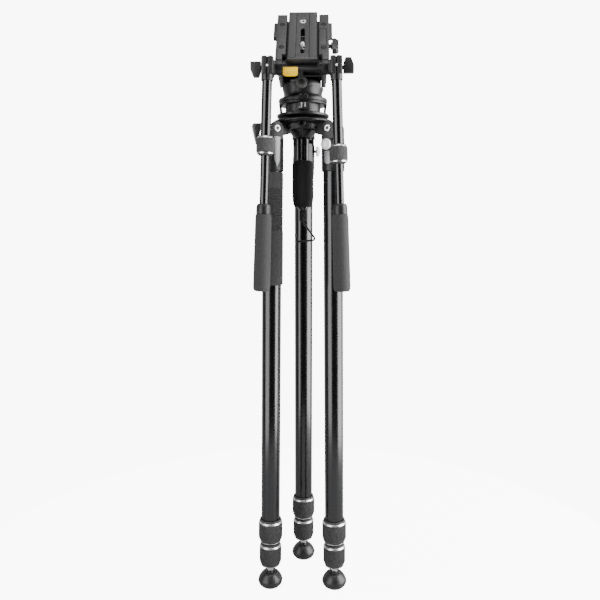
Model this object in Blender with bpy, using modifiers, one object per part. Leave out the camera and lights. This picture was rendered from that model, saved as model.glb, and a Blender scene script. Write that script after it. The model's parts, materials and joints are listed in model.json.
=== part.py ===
"""Video tripod, folded: three telescopic legs, a levelling base, a fluid head and two pan handles.

The model is in metres, +Z up. Its origin is on the floor under the tripod's axis, and the operator
stands at -Y. Sizes below are in millimetres, and the helpers turn them into metres.
Each moving piece hangs on an empty that stands on its joint's axis.
"""

import math

import bmesh
import bpy
from mathutils import Euler, Matrix, Vector

MM = 0.001
GAP = 0.3  # air between two pieces that touch

# Legs: three sections, closed, each leg leaning out by LEG_LEAN at its hinge.
LEGS = {"rear": 90, "left": 210, "right": 330}  # azimuth of each leg, degrees
LEG_LEAN = 0.62
HINGE_R = 53.0
HINGE_Z = 734.0
UPPER_R = 15.0
MIDDLE_R = 13.0
LOWER_R = 11.0
TUBE_WALL = 1.4
UPPER_ENDS = (714.0, 90.0)  # heights of each tube's two ends
MIDDLE_ENDS = (700.0, 50.0)
LOWER_ENDS = (690.0, 41.0)
STUD_END = 27.4  # the thin stud between the lower tube and the foot
STUD_R = 5.6
UPPER_COLLAR = (117.0, 77.6)
LOWER_COLLAR = (76.4, 38.0)
COLLAR_R = {"upper": 19.2, "lower": 17.7}
FOOT_R = 20.0
LEG_GRIP = (670.0, 498.0)
LEG_GRIP_R = 17.5

# Shoulder: a sleeve on the upper tube with a fork around the canopy's lug.
SLEEVE_R = 17.3
SLEEVE_ENDS = (722.0, 671.0)
FORK_OUT = 17.3
FORK_IN = 12.0
KNUCKLE_R = 10.5
PIN_R = 4.0
KNOB_DROP = 24.0  # the pull knob's height below the hinge
KNOB_R = 8.2

# Canopy and levelling base: BALL_Z is the centre that the head tilts about.
RIM_R = 45.5
RIM_Z = 750.0
HUB_R = 34.0
HUB_Z = 735.0
BALL_Z = 757.0
BALL_R = 24.0
FLANGE_R = 40.5
FLANGE_Z = (759.5, 753.2)
CUP_SEAT_R = 29.2
CUP_R = 21.5
LEVEL_GRIP_R = 16.7
LEVEL_GRIP_ENDS = (689.8, 614.0)

# Head: the tilt axis is TILT_Z up, and the platform is nose up by NOSE_UP.
TILT_Z = 818.5
NOSE_UP = 48.0
BASE_R = 37.4
BODY_R = 30.0
DRUM_R = 21.0
DRUM_HALF = 27.8
CHEEK_R = 17.5
CHEEK_IN = 28.3
CHEEK_OUT = 35.2
PLATFORM_HALF = 39.6
PLATE_HALF = 22.0
PLATE_T = (-31.0, 92.0)  # ends of the sliding plate along the platform
PLATE_N = (42.0, 50.0)  # its lower and upper face, above the tilt axis
RAIL_IN = 24.6
FLOOR_N = 38.0

# Pan handles, hanging beside the front legs.
ROSETTE = (-60.0, 816.3)  # Y and Z of the line through both rosettes
ROSETTE_R = 10.5
HANDLE_TOP = (49.0, -73.0, 816.3)
HANDLE_END = (59.9, -76.0, 493.0)
HANDLE_R = 7.4
ROD_R = 6.4
HANDLE_COLLAR_R = 13.0
HANDLE_COLLAR_Z = {"left": 718.0, "right": 706.0}
HANDLE_COLLAR_LENGTH = 28.0
GRIP_R = 12.8


def new_collection(name, hidden=False):
    """A collection in the scene, hidden from renders if it only holds cutters."""
    group = bpy.data.collections.new(name)
    group.hide_render = hidden
    bpy.context.scene.collection.children.link(group)
    return group


for old in list(bpy.data.objects):
    bpy.data.objects.remove(old, do_unlink=True)
PARTS = new_collection("video_tripod")
CUTTERS = new_collection("cutters", hidden=True)


def finish(name, colour, roughness, metallic=0.0):
    """A Principled material of one colour."""
    material = bpy.data.materials.new(name)
    material.use_nodes = True
    shader = material.node_tree.nodes["Principled BSDF"]
    shader.inputs["Base Color"].default_value = (*colour, 1.0)
    shader.inputs["Roughness"].default_value = roughness
    shader.inputs["Metallic"].default_value = metallic
    return material


ANODISED = finish("black_anodised", (0.02, 0.02, 0.022), 0.28, 0.6)
CAST = finish("satin_black_casting", (0.03, 0.03, 0.03), 0.45, 0.2)
HEAD_GREY = finish("dark_grey_head", (0.1, 0.1, 0.1), 0.5, 0.2)
RUBBER = finish("black_rubber", (0.03, 0.03, 0.03), 0.75)
FOAM = finish("black_foam", (0.05, 0.05, 0.05), 0.9)
PLASTIC = finish("black_plastic", (0.03, 0.03, 0.03), 0.5)
STEEL = finish("bright_steel", (0.7, 0.7, 0.7), 0.2, 1.0)
BLACK_STEEL = finish("black_coated_steel", (0.02, 0.02, 0.02), 0.4, 0.3)
YELLOW = finish("yellow_plastic", (0.9, 0.65, 0.08), 0.45)
WEBBING = finish("black_webbing", (0.02, 0.02, 0.02), 0.9)


def axis_empty(name, at=(0, 0, 0), turn=(0, 0, 0), parent=None):
    """An empty on a joint's axis; at is in mm and turn in degrees, under its parent."""
    empty = bpy.data.objects.new(name, None)
    PARTS.objects.link(empty)
    empty.parent = parent
    empty.location = Vector(at) * MM
    empty.rotation_euler = Euler([math.radians(angle) for angle in turn])
    return empty


def place(mesh, name, material, at, turn, parent, cutter=False):
    """An object for the mesh, in the parts' collection or the cutters'."""
    obj = bpy.data.objects.new(name, mesh)
    (CUTTERS if cutter else PARTS).objects.link(obj)
    obj.parent = parent
    obj.location = Vector(at) * MM
    obj.rotation_euler = Euler([math.radians(angle) for angle in turn])
    if cutter:
        obj.hide_render = True
        obj.display_type = "WIRE"
    else:
        mesh.materials.append(material)
    return obj


def turned(name, profile, material, at=(0, 0, 0), turn=(0, 0, 0), parent=None, steps=18, cutter=False):
    """A profile of (radius, height) points turned about local Z, from the top down its outer side.

    A profile that starts and ends on the axis stays open; any other is closed along its bore.
    """
    mesh = bpy.data.meshes.new(name)
    points = [(radius * MM, 0, height * MM) for radius, height in profile]
    edges = [(i, i + 1) for i in range(len(points) - 1)]
    if profile[0][0] > 0:
        edges.append((len(points) - 1, 0))
    mesh.from_pydata(points, edges, [])
    obj = place(mesh, name, material, at, turn, parent, cutter)
    screw = obj.modifiers.new("turn", "SCREW")
    screw.steps = steps
    screw.render_steps = steps
    screw.use_merge_vertices = True
    screw.merge_threshold = 0.00001
    return obj


def rod(name, radius, ends, material, at=(0, 0, 0), turn=(0, 0, 0), parent=None, steps=18, cutter=False):
    """A solid cylinder along local Z between two heights."""
    profile = [(0, ends[0]), (radius, ends[0]), (radius, ends[1]), (0, ends[1])]
    return turned(name, profile, material, at, turn, parent, steps, cutter)


def ring(radius, bore, ends):
    """The profile of a plain ring or tube."""
    return [(radius, ends[0]), (radius, ends[1]), (bore, ends[1]), (bore, ends[0])]


def block(name, low, high, material, at=(0, 0, 0), turn=(0, 0, 0), parent=None, bevel=0.0, cutter=False):
    """A box between two corners, with rounded edges where bevel is given."""
    form = bmesh.new()
    bmesh.ops.create_cube(form, size=1)
    size = [(b - a) * MM for a, b in zip(low, high)]
    middle = [(b + a) / 2 * MM for a, b in zip(low, high)]
    bmesh.ops.scale(form, vec=size, verts=form.verts)
    bmesh.ops.translate(form, vec=middle, verts=form.verts)
    mesh = bpy.data.meshes.new(name)
    form.to_mesh(mesh)
    form.free()
    obj = place(mesh, name, material, at, turn, parent, cutter)
    if bevel:
        edge = obj.modifiers.new("edges", "BEVEL")
        edge.width = bevel * MM
        edge.segments = 2
    return obj


def meshed(curve_object):
    """The curve as a plain mesh with its caps welded, in the curve's place."""
    bpy.context.view_layer.update()
    evaluated = curve_object.evaluated_get(bpy.context.evaluated_depsgraph_get())
    mesh = bpy.data.meshes.new_from_object(evaluated)
    form = bmesh.new()
    form.from_mesh(mesh)
    bmesh.ops.remove_doubles(form, verts=form.verts, dist=0.00001)
    form.to_mesh(mesh)
    form.free()
    return mesh


def outline(name, points, thickness, material, at=(0, 0, 0), turn=(0, 0, 0), parent=None, cutter=False):
    """A flat closed outline in local XY, with its thickness centred on the plane."""
    curve = bpy.data.curves.new(name, "CURVE")
    curve.dimensions = "2D"
    curve.fill_mode = "BOTH"
    curve.extrude = thickness / 2 * MM
    spline = curve.splines.new("POLY")
    spline.points.add(len(points) - 1)
    for point, (x, y) in zip(spline.points, points):
        point.co = (x * MM, y * MM, 0, 1)
    spline.use_cyclic_u = True
    flat = bpy.data.objects.new(name + "_outline", curve)
    bpy.context.scene.collection.objects.link(flat)
    mesh = meshed(flat)
    bpy.data.objects.remove(flat, do_unlink=True)
    return place(mesh, name, material, at, turn, parent, cutter)


def wire(name, points, radius, material, at=(0, 0, 0), turn=(0, 0, 0), parent=None):
    """A round wire through the points, with closed ends."""
    curve = bpy.data.curves.new(name, "CURVE")
    curve.dimensions = "3D"
    curve.bevel_depth = radius * MM
    curve.bevel_resolution = 2
    curve.use_fill_caps = True
    spline = curve.splines.new("POLY")
    spline.points.add(len(points) - 1)
    for point, (x, y, z) in zip(spline.points, points):
        point.co = (x * MM, y * MM, z * MM, 1)
    path = bpy.data.objects.new(name + "_path", curve)
    bpy.context.scene.collection.objects.link(path)
    mesh = meshed(path)
    bpy.data.objects.remove(path, do_unlink=True)
    return place(mesh, name, material, at, turn, parent)


def arc(centre, radius, start, end, count):
    """Points on an arc, from one angle to the other in degrees."""
    angles = [math.radians(start + (end - start) * i / (count - 1)) for i in range(count)]
    return [(centre[0] + radius * math.cos(a), centre[1] + radius * math.sin(a)) for a in angles]


def combine(obj, operation, *tools):
    """Boolean modifiers that join or cut obj with each tool in turn."""
    for tool in tools:
        boolean = obj.modifiers.new(operation.lower(), "BOOLEAN")
        boolean.operation = operation
        boolean.solver = "EXACT"
        boolean.object = tool
    return obj


def tube(name, radius, ends, origin_z, parent):
    """A hollow leg tube whose ends are given as heights above the floor."""
    low_high = [height - origin_z for height in ends]
    return turned(name, ring(radius, radius - TUBE_WALL, low_high), ANODISED, parent=parent)


def twist_collar(name, ends, radius, wide_bore, narrow_bore, origin_z, parent, steps=20):
    """A twist lock: its upper bore takes the outer tube, and its lower lip closes on the inner one."""
    top, bottom = [height - origin_z for height in ends]
    step = top - 0.72 * (top - bottom)
    profile = [
        (radius - 1.2, top),
        (radius, top - 2.5),
        (radius, bottom + 5),
        (radius - 3, bottom),
        (narrow_bore, bottom),
        (narrow_bore, step),
        (wide_bore, step),
        (wide_bore, top),
    ]
    return turned(name, profile, RUBBER, parent=parent, steps=steps)


def shoulder(name, hinge):
    """The leg's cast top: a sleeve closed over the tube, and two cheeks up to the hinge pin."""
    top, bottom = [height - HINGE_Z for height in SLEEVE_ENDS]
    roof = UPPER_ENDS[0] - HINGE_Z + GAP
    socket = UPPER_R + GAP
    profile = [(0, top), (SLEEVE_R, top), (SLEEVE_R, bottom), (socket, bottom), (socket, roof), (0, roof)]
    body = turned(name, profile, CAST, parent=hinge, steps=20)
    cheek = [(-KNUCKLE_R, top - 4), *arc((0, 0), KNUCKLE_R, 180, 0, 9), (KNUCKLE_R, top - 4)]
    for side in (-1, 1):
        middle = side * (FORK_IN + FORK_OUT - 0.2) / 2
        thick = FORK_OUT - FORK_IN - 0.2
        wall = outline(f"{name}_cheek", cheek, thick, None, (0, middle, 0), (90, 0, 0), hinge, cutter=True)
        combine(body, "UNION", wall)
    pin = rod(name + "_pin_hole", PIN_R + GAP, (40, -40), None, turn=(90, 0, 0), parent=hinge, steps=12, cutter=True)
    post = rod(
        name + "_knob_hole", 2.9, (40, 14), None, (0, 0, -KNOB_DROP), (90, 0, 0), hinge, 12, cutter=True
    )
    return combine(body, "DIFFERENCE", pin, post)


def pull_knob(name, hinge):
    """The sprung knob that frees the leg's angle stop: a domed head on a thin stem."""
    axis = axis_empty(name + "_axis", (0, 0, -KNOB_DROP), (90, 0, 0), hinge)
    dome = [(KNOB_R * math.sin(a), 22.3 + 5 * math.cos(a)) for a in (0.0, 0.4, 0.8, 1.2, 1.57)]
    profile = [*dome, (KNOB_R, 21), (KNOB_R - 0.7, 20.4), (2.5, 20.4), (2.5, 17.2), (0, 17.2)]
    profile[0] = (0, profile[0][1])
    return turned(name, profile, STEEL, parent=axis, steps=16)


def foot(name, radius_out, azimuth):
    """A rubber foot, upright on the floor under the leg's end."""
    angle = math.radians(azimuth)
    at = (radius_out * math.cos(angle), radius_out * math.sin(angle), 0)
    top = STUD_END - 0.4
    profile = [
        (0, top),
        (7.2, top),
        (12, 23.2),
        (17.4, 17.6),
        (FOOT_R, 12.6),
        (FOOT_R - 0.4, 8.4),
        (16.6, 3.4),
        (11.5, 0),
        (0, 0),
    ]
    return turned(name, profile, RUBBER, at, steps=24)


def build_leg(side, azimuth):
    """One leg, closed, with its pieces in the hinge's frame: local X points out, local Z up the leg."""
    angle = math.radians(azimuth)
    hinge_at = (HINGE_R * math.cos(angle), HINGE_R * math.sin(angle), HINGE_Z)
    hinge = axis_empty(f"{side}_leg_hinge", hinge_at, (0, -LEG_LEAN, azimuth))
    leg = f"{side}_leg"
    shoulder(f"{leg}_shoulder", hinge)
    pin = [(0, 18.4), (5.2, 18.4), (5.2, 17.6), (PIN_R, 17.6), (PIN_R, -17.6), (5.2, -17.6), (5.2, -18.4), (0, -18.4)]
    turned(f"{leg}_pin", pin, STEEL, turn=(90, 0, 0), parent=hinge, steps=12)
    pull_knob(f"{leg}_angle_knob", hinge)
    tube(f"{leg}_upper_tube", UPPER_R, UPPER_ENDS, HINGE_Z, hinge)
    tube(f"{leg}_middle_tube", MIDDLE_R, MIDDLE_ENDS, HINGE_Z, hinge)
    lower = tube(f"{leg}_lower_tube", LOWER_R, LOWER_ENDS, HINGE_Z, hinge)
    plug_ends = [height - HINGE_Z for height in (LOWER_ENDS[1] + 6, LOWER_ENDS[1] + 1)]
    stud_ends = [height - HINGE_Z for height in (LOWER_ENDS[1] + 4, STUD_END)]
    plug = rod(f"{leg}_plug", LOWER_R - 0.6, plug_ends, None, parent=hinge, cutter=True)
    stud = rod(f"{leg}_stud", STUD_R, stud_ends, None, parent=hinge, steps=14, cutter=True)
    combine(lower, "UNION", plug, stud)
    twist_collar(f"{leg}_upper_collar", UPPER_COLLAR, COLLAR_R["upper"], UPPER_R + GAP, MIDDLE_R + GAP, HINGE_Z, hinge)
    twist_collar(f"{leg}_lower_collar", LOWER_COLLAR, COLLAR_R["lower"], MIDDLE_R + GAP, LOWER_R + GAP, HINGE_Z, hinge)
    end_radius = HINGE_R + (HINGE_Z - STUD_END) * math.tan(math.radians(LEG_LEAN))
    foot(f"{leg}_foot", end_radius, azimuth)
    return hinge


def build_canopy():
    """The casting that the legs hang on: a rim, a spherical seat for the ball, and three lugs."""
    under = math.sqrt(CUP_SEAT_R**2 - 27**2)
    seat = BALL_R + 0.4
    bowl = [(seat * math.cos(math.radians(a)), BALL_Z + seat * math.sin(math.radians(a))) for a in (-52, -36, -17)]
    profile = [
        (27, RIM_Z),
        (RIM_R - 1.5, RIM_Z),
        (RIM_R, RIM_Z - 1.2),
        (RIM_R, RIM_Z - 3.6),
        (RIM_R - 3, RIM_Z - 5),
        (HUB_R, RIM_Z - 7),
        (HUB_R, HUB_Z),
        (27.6, HUB_Z),
        (27, BALL_Z - under),
        (15, BALL_Z - math.sqrt(CUP_SEAT_R**2 - 15**2)),
        *bowl,
    ]
    body = turned("canopy", profile, CAST, steps=32)
    for side, azimuth in LEGS.items():
        reach = [(25.5, HUB_Z + 1), (HINGE_R, HINGE_Z - 8.6), *arc((HINGE_R, HINGE_Z), 8.6, -60, 90, 6)]
        lug_outline = [*reach, (RIM_R - 5, RIM_Z - 5.2), (30, RIM_Z - 5.2)]
        lug_outline[0] = (30, HINGE_Z - 6)
        frame = axis_empty(f"{side}_lug", turn=(0, 0, azimuth))
        lug = outline(f"{side}_lug_solid", lug_outline, 2 * FORK_IN - 0.8, None, turn=(90, 0, 0), parent=frame, cutter=True)
        bore = rod(
            f"{side}_lug_bore", PIN_R + GAP, (30, -30), None, (HINGE_R, 0, HINGE_Z), (90, 0, 0), frame, 12, cutter=True
        )
        combine(body, "UNION", lug)
        combine(body, "DIFFERENCE", bore)
    front = rod("front_lug", 6, (40, 30), None, (-1, 0, 742), (90, 0, 0), steps=16, cutter=True)
    socket = rod("front_socket", 3, (45, 34), None, (-1, 0, 742), (90, 0, 0), steps=12, cutter=True)
    side_boss = block("lever_boss", (-50, -6, 738), (-43, 6, 747.5), None, cutter=True)
    slot = block("lever_slot", (-60, -3.4, 737), (-44.5, 3.4, 752), None, cutter=True)
    combine(body, "UNION", front, side_boss)
    combine(body, "DIFFERENCE", socket, slot)
    return body


def build_clamp_lever():
    """The cam lever that locks the levelling ball, folded down outside the canopy."""
    axis = axis_empty("clamp_lever_axis", (-51, 0, 743))
    profile = [
        *arc((0, 0), 4.6, 0, -90, 4),
        (-15.5, -5),
        (-19.5, -27.5),
        (-22.8, -28),
        (-27.2, -8),
        *arc((-24, -0.5), 4.5, 190, 90, 4),
        *arc((0, 0), 4.6, 90, 40, 2),
    ]
    lever = outline("clamp_lever", profile, 11, PLASTIC, turn=(90, 0, 0), parent=axis)
    sides = [block(f"lever_side_{s}", (-8.5, s * 6 - 3, -8), (9, s * 6 + 3, 8), None, parent=axis, cutter=True) for s in (-1, 1)]
    return combine(lever, "DIFFERENCE", *sides)


def build_level():
    """The levelling ball with its clamp cup, the grip that pulls it tight, and the weight hook."""
    ball_axis = axis_empty("level_axis", (0, 0, BALL_Z))
    start = math.degrees(math.asin((BALL_Z - FLANGE_Z[1] - 1.2) / BALL_R))
    ball = arc((0, 0), BALL_R, -start - 4, -62, 5)
    stem_end = 700 - BALL_Z
    top, low = [height - BALL_Z for height in FLANGE_Z]
    profile = [
        (0, top),
        (FLANGE_R - 1, top),
        (FLANGE_R, top - 1),
        (FLANGE_R, low + 1.8),
        (FLANGE_R - 4, low + 0.8),
        *ball,
        (7, -BALL_R),
        (7, stem_end),
        (0, stem_end),
    ]
    turned("level_ball", profile, CAST, parent=ball_axis, steps=28)
    seat = CUP_SEAT_R + 0.4
    rise = [(r, -math.sqrt(seat**2 - r**2)) for r in (10.4, 16.5, CUP_R - 1)]
    cup = [(CUP_R, rise[-1][1]), (13.7, -32.5), (10.4, -32.5), *rise]
    turned("level_cup", cup, ANODISED, parent=ball_axis, steps=28)
    shaft_top = 723.2 - BALL_Z
    grip_top, grip_low = [height - BALL_Z for height in LEVEL_GRIP_ENDS]
    shaft = [(9.2, shaft_top), (9.2, grip_low + 4), (6, grip_low - 0.8), (0, grip_low - 0.8)]
    bore = rod("shaft_bore", 7.3, (shaft_top + 5, stem_end - GAP), None, parent=ball_axis, steps=20, cutter=True)
    handle = turned("level_handle", [(0, shaft_top), *shaft], ANODISED, parent=ball_axis)
    combine(handle, "DIFFERENCE", bore)
    grip = [
        (13, grip_top),
        (LEVEL_GRIP_R - 1, grip_top - 3),
        (LEVEL_GRIP_R, grip_top - 8),
        (LEVEL_GRIP_R, grip_low + 16),
        (14, grip_low + 4.5),
        (9.6, grip_low + 4.5),
        (9.6, grip_top),
    ]
    turned("level_grip", grip, FOAM, parent=ball_axis, steps=28)
    strap_axis = axis_empty("strap_axis", (0, 0, grip_low - 1.4), parent=ball_axis)
    block("hook_strap", (-5.5, -1, -16), (5.5, 1, 0), WEBBING, parent=strap_axis)
    hook_axis = axis_empty("hook_axis", (0, 0, -17.9), parent=strap_axis)
    corner = [(x, 0, z) for x, z in arc((15.2, -25.5), 3.2, 35, -75, 5)]
    heel = [(x, 0, z) for x, z in arc((-7.2, -27.8), 2.8, 262, 188, 4)]
    path = [(-1.8, 0, -0.6), (0.6, 0, -0.6), *corner, *heel, (-11.6, 0, -18.5)]
    wire("weight_hook", path, 1.25, BLACK_STEEL, parent=hook_axis)


def build_head_base():
    """The head's base, its latch, and the body with the tilt drum and the drag lever."""
    bottom = FLANGE_Z[0] + GAP
    groove = (775.2, 776.8)
    profile = [
        (0, 783),
        (BASE_R - 0.8, 783),
        (BASE_R, 782),
        (BASE_R, groove[1]),
        (BASE_R - 1.6, groove[1]),
        (BASE_R - 1.6, groove[0]),
        (BASE_R, groove[0]),
        (BASE_R - 0.6, 773.2),
        (27, 773.2),
        (27, bottom),
        (0, bottom),
    ]
    base = turned("pan_base", profile, CAST, steps=32)
    for side in (-1, 1):
        low, high = sorted((side * 32, side * (BASE_R - 1.4)))
        post = block("pan_base_post", (low, -5, bottom), (high, 5, 774), None, cutter=True)
        combine(base, "UNION", post)
    latch_seat = rod("base_latch_seat", 4.4, (40, 23), None, (2.4, 0, 767.2), (90, 0, 0), steps=16, cutter=True)
    combine(base, "DIFFERENCE", latch_seat)
    latch_axis = axis_empty("base_latch_axis", (2.4, 0, 767.2), (90, 0, 0))
    stem = rod("base_latch", 4, (34, 26), PLASTIC, parent=latch_axis, steps=16)
    head = block("base_latch_head", (-9.5, -5.4, 33), (9.5, 5.4, 40), None, parent=latch_axis, bevel=1.5, cutter=True)
    combine(stem, "UNION", head)

    lever_z = 801.0
    bowl = [(BODY_R + 0.6, 808), (BODY_R + 2.8, 806), (BODY_R + 3, 802), (BODY_R + 1, 795.5), (BODY_R - 0.6, 790)]
    body = turned("pan_body", [(0, 808), *bowl, (BODY_R + 2, 783.3), (0, 783.3)], HEAD_GREY, steps=32)
    for side in (-1, 1):
        low, high = sorted((side * DRUM_HALF, side * 50))
        flat = block("bowl_side", (low, -50, 798.6), (high, 50, 820), None, cutter=True)
        combine(body, "DIFFERENCE", flat)
    drum = rod("drum", DRUM_R, (DRUM_HALF, -DRUM_HALF), None, (0, 0, TILT_Z), (0, 90, 0), steps=28, cutter=True)
    boss = rod("lever_post", 6.6, (34.2, 15), None, (-1, 0, lever_z), (90, 0, 0), steps=16, cutter=True)
    stud = rod("lever_stud", 3, (39.4, 28), None, (-1, 0, lever_z), (90, 0, 0), steps=12, cutter=True)
    combine(body, "UNION", drum, boss, stud)
    axle_ends = [rod(f"axle_{s}", 7, (s * 20 + 14, s * 20 - 14), None, (0, 0, TILT_Z), (0, 90, 0), cutter=True) for s in (-1, 1)]
    combine(body, "UNION", *axle_ends)

    lever_axis = axis_empty("drag_lever_axis", (-1, 0, lever_z), (90, 0, 0))
    arm = [(-16.5, 0.8), (-16.5, 3.8), (-10, 4.2)]
    around = arc((0, 0), 8.2, 140, -190, 15)
    flag = [*arm, *around, (-10, 0.2)]
    lever = outline("drag_lever", flag, 4.4, HEAD_GREY, (0, 0, 36.8), (0, 0, 0), lever_axis)
    eye = rod("drag_lever_eye", 3.3, (45, 28), None, parent=lever_axis, steps=16, cutter=True)
    combine(lever, "DIFFERENCE", eye)


def side_plate(name, low_x, high_x, points, tilt):
    """An outline in the platform's side plane (along, above), as thick as the two X values."""
    frame = axis_empty(name + "_plane", ((low_x + high_x) / 2, 0, 0), (90, 0, 90), tilt)
    return outline(name, points, high_x - low_x, None, parent=frame, cutter=True)


def build_cradle(tilt):
    """The tilting cradle: two cheeks on the drum's axle, a deck under the platform and a rear bar."""
    along, above = rosette_in_platform()
    cradle = block("cradle", (-CHEEK_OUT, PLATE_T[0] + 2, 25.6), (CHEEK_OUT, 44, 29.7), CAST, parent=tilt)
    front = PLATE_T[0] - GAP
    cheek = [
        (front, 29.6),
        *arc((along, above), ROSETTE_R, 0, 215, 9),
        *arc((0, 0), CHEEK_R, 212, 325, 8),
        (43.5, 27),
        (43.5, 29.6),
    ]
    for side in (-1, 1):
        low, high = sorted((side * CHEEK_IN, side * CHEEK_OUT))
        wall = side_plate(f"cheek_{side}", low, high, cheek, tilt)
        low, high = sorted((side * CHEEK_IN, side * 37.7))
        boss = rod(f"rosette_{side}", ROSETTE_R, (high, low), None, (0, along, above), (0, 90, 0), tilt, 20, cutter=True)
        hole = rod(f"axle_hole_{side}", 7.4, (side * 31 + 9, side * 31 - 9), None, turn=(0, 90, 0), parent=tilt, cutter=True)
        combine(cradle, "UNION", wall, boss)
        combine(cradle, "DIFFERENCE", hole)
    bar = block("rear_bar", (-CHEEK_IN - 1, -43.5, 29), (CHEEK_IN + 1, front, 41.6), None, parent=tilt, cutter=True)
    web = block("rear_web", (-CHEEK_IN - 1, front - 3.5, 25.8), (CHEEK_IN + 1, front + 3, 29.5), None, parent=tilt, cutter=True)
    pocket = block("rear_pocket", (1.5, -50, 31), (26, -37.5, 40), None, parent=tilt, cutter=True)
    seat = block("safety_button_seat", (-28.1, -50, 34.7), (-5.9, -38.6, 50), None, parent=tilt, cutter=True)
    combine(cradle, "UNION", bar, web)
    return combine(cradle, "DIFFERENCE", pocket, seat)


def rosette_in_platform():
    """The rosettes' place along and above the platform, seen from the tilt axis."""
    angle = math.radians(NOSE_UP)
    back, up = ROSETTE[0], ROSETTE[1] - TILT_Z
    return back * math.cos(angle) + up * math.sin(angle), -back * math.sin(angle) + up * math.cos(angle)


def build_platform(tilt):
    """The platform's channel, the clamp block with its knob, the safety button and the plate."""
    rear, front = PLATE_T[0], 85.0
    top = PLATE_N[1]
    body = block("platform", (-PLATFORM_HALF, rear, 30), (PLATFORM_HALF, front, top), HEAD_GREY, parent=tilt, bevel=1.4)
    channel = block("channel", (-RAIL_IN, rear - 9, FLOOR_N), (RAIL_IN, front + 9, top + 9), None, parent=tilt, cutter=True)
    jaw = block("jaw_seat", (RAIL_IN - 2, 4, FLOOR_N), (PLATFORM_HALF - 4, 47, top + 9), None, parent=tilt, cutter=True)
    drive = rod("knob_hole", 3.4, (60, 30), None, (0, 9, 44), (0, 90, 0), tilt, 12, cutter=True)
    button = block("button_seat", (-60, 29.6, 38.6), (-34.5, 68.4, 47), None, parent=tilt, cutter=True)
    catch = block("side_catch", (38.5, 35, 37), (44.5, 67, 46), None, parent=tilt, cutter=True)
    combine(body, "UNION", catch)
    combine(body, "DIFFERENCE", channel, jaw, drive, button)
    for side in (-1, 1):
        low, high = sorted((side * (RAIL_IN - 2), side * (RAIL_IN + 5)))
        notch = block("rear_notch", (low, rear - 9, FLOOR_N + 3), (high, rear + 12, top + 9), None, parent=tilt, cutter=True)
        combine(body, "DIFFERENCE", notch)
    block(
        "clamp_block", (RAIL_IN, 4.4, FLOOR_N + GAP), (PLATFORM_HALF - 4.4, 46.6, top), HEAD_GREY, parent=tilt, bevel=0.6
    )
    knob_axis = axis_empty("platform_knob_axis", (0, 9, 44), (0, 90, 0), tilt)
    knob = rod("platform_knob", 3, (47, 37.6), PLASTIC, parent=knob_axis, steps=12)
    wing = [(-13.5, 44), (14, 44), (14, 49), (9, 53.5), (-10, 53.5), (-13.5, 50)]
    grip = outline("platform_knob_wing", wing, 8.5, None, turn=(90, 0, 90), parent=knob_axis, cutter=True)
    collar = rod("platform_knob_collar", 5, (45, 41.9), None, parent=knob_axis, steps=12, cutter=True)
    combine(knob, "UNION", collar, grip)
    block("release_button", (-44.6, 30, 39), (-36.6, 68, 46.6), PLASTIC, parent=tilt, bevel=1.4)
    block("safety_button", (-27.8, -51, 35), (-6.2, -41, 44), YELLOW, parent=tilt, bevel=2.2)

    plate = block(
        "camera_plate", (-PLATE_HALF, rear, PLATE_N[0]), (PLATE_HALF, PLATE_T[1], top), HEAD_GREY, parent=tilt, bevel=0.8
    )
    slot_ends = [*arc((0, 44), 3.1, 0, 180, 7), *arc((0, -14), 3.1, 180, 360, 7)]
    slot = outline("plate_slot", slot_ends, 30, None, (0, 0, top), parent=tilt, cutter=True)
    wide_ends = [*arc((0, 44), 5.3, 0, 180, 7), *arc((0, -14), 5.3, 180, 360, 7)]
    recess = outline("plate_recess", wide_ends, 9.4, None, (0, 0, PLATE_N[0]), parent=tilt, cutter=True)
    eye = rod("front_screw_seat", 5, (top + 9, top - 3), None, (0, 64, 0), parent=tilt, steps=16, cutter=True)
    combine(plate, "DIFFERENCE", slot, recess, eye)
    screw = [(0, top + 4.5), (2.2, top + 4.5), (2.8, top + 3.9), (2.8, 46.2), (4.8, 46.2), (4.8, 42.6), (0, 42.6)]
    turned("camera_screw", screw, STEEL, (0, 3, 0), parent=tilt, steps=14)


def handle_frame(sign):
    """The handle tube's own frame: its origin beside the rosette, local Z up along the tube."""
    top = Vector((sign * HANDLE_TOP[0], HANDLE_TOP[1], HANDLE_TOP[2]))
    end = Vector((sign * HANDLE_END[0], HANDLE_END[1], HANDLE_END[2]))
    up = (top - end).normalized()
    side = Vector((1, 0, 0))
    side = (side - up * side.dot(up)).normalized()
    turn = Matrix((side, up.cross(side), up)).transposed().to_euler()
    return top, [math.degrees(angle) for angle in turn]


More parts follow.
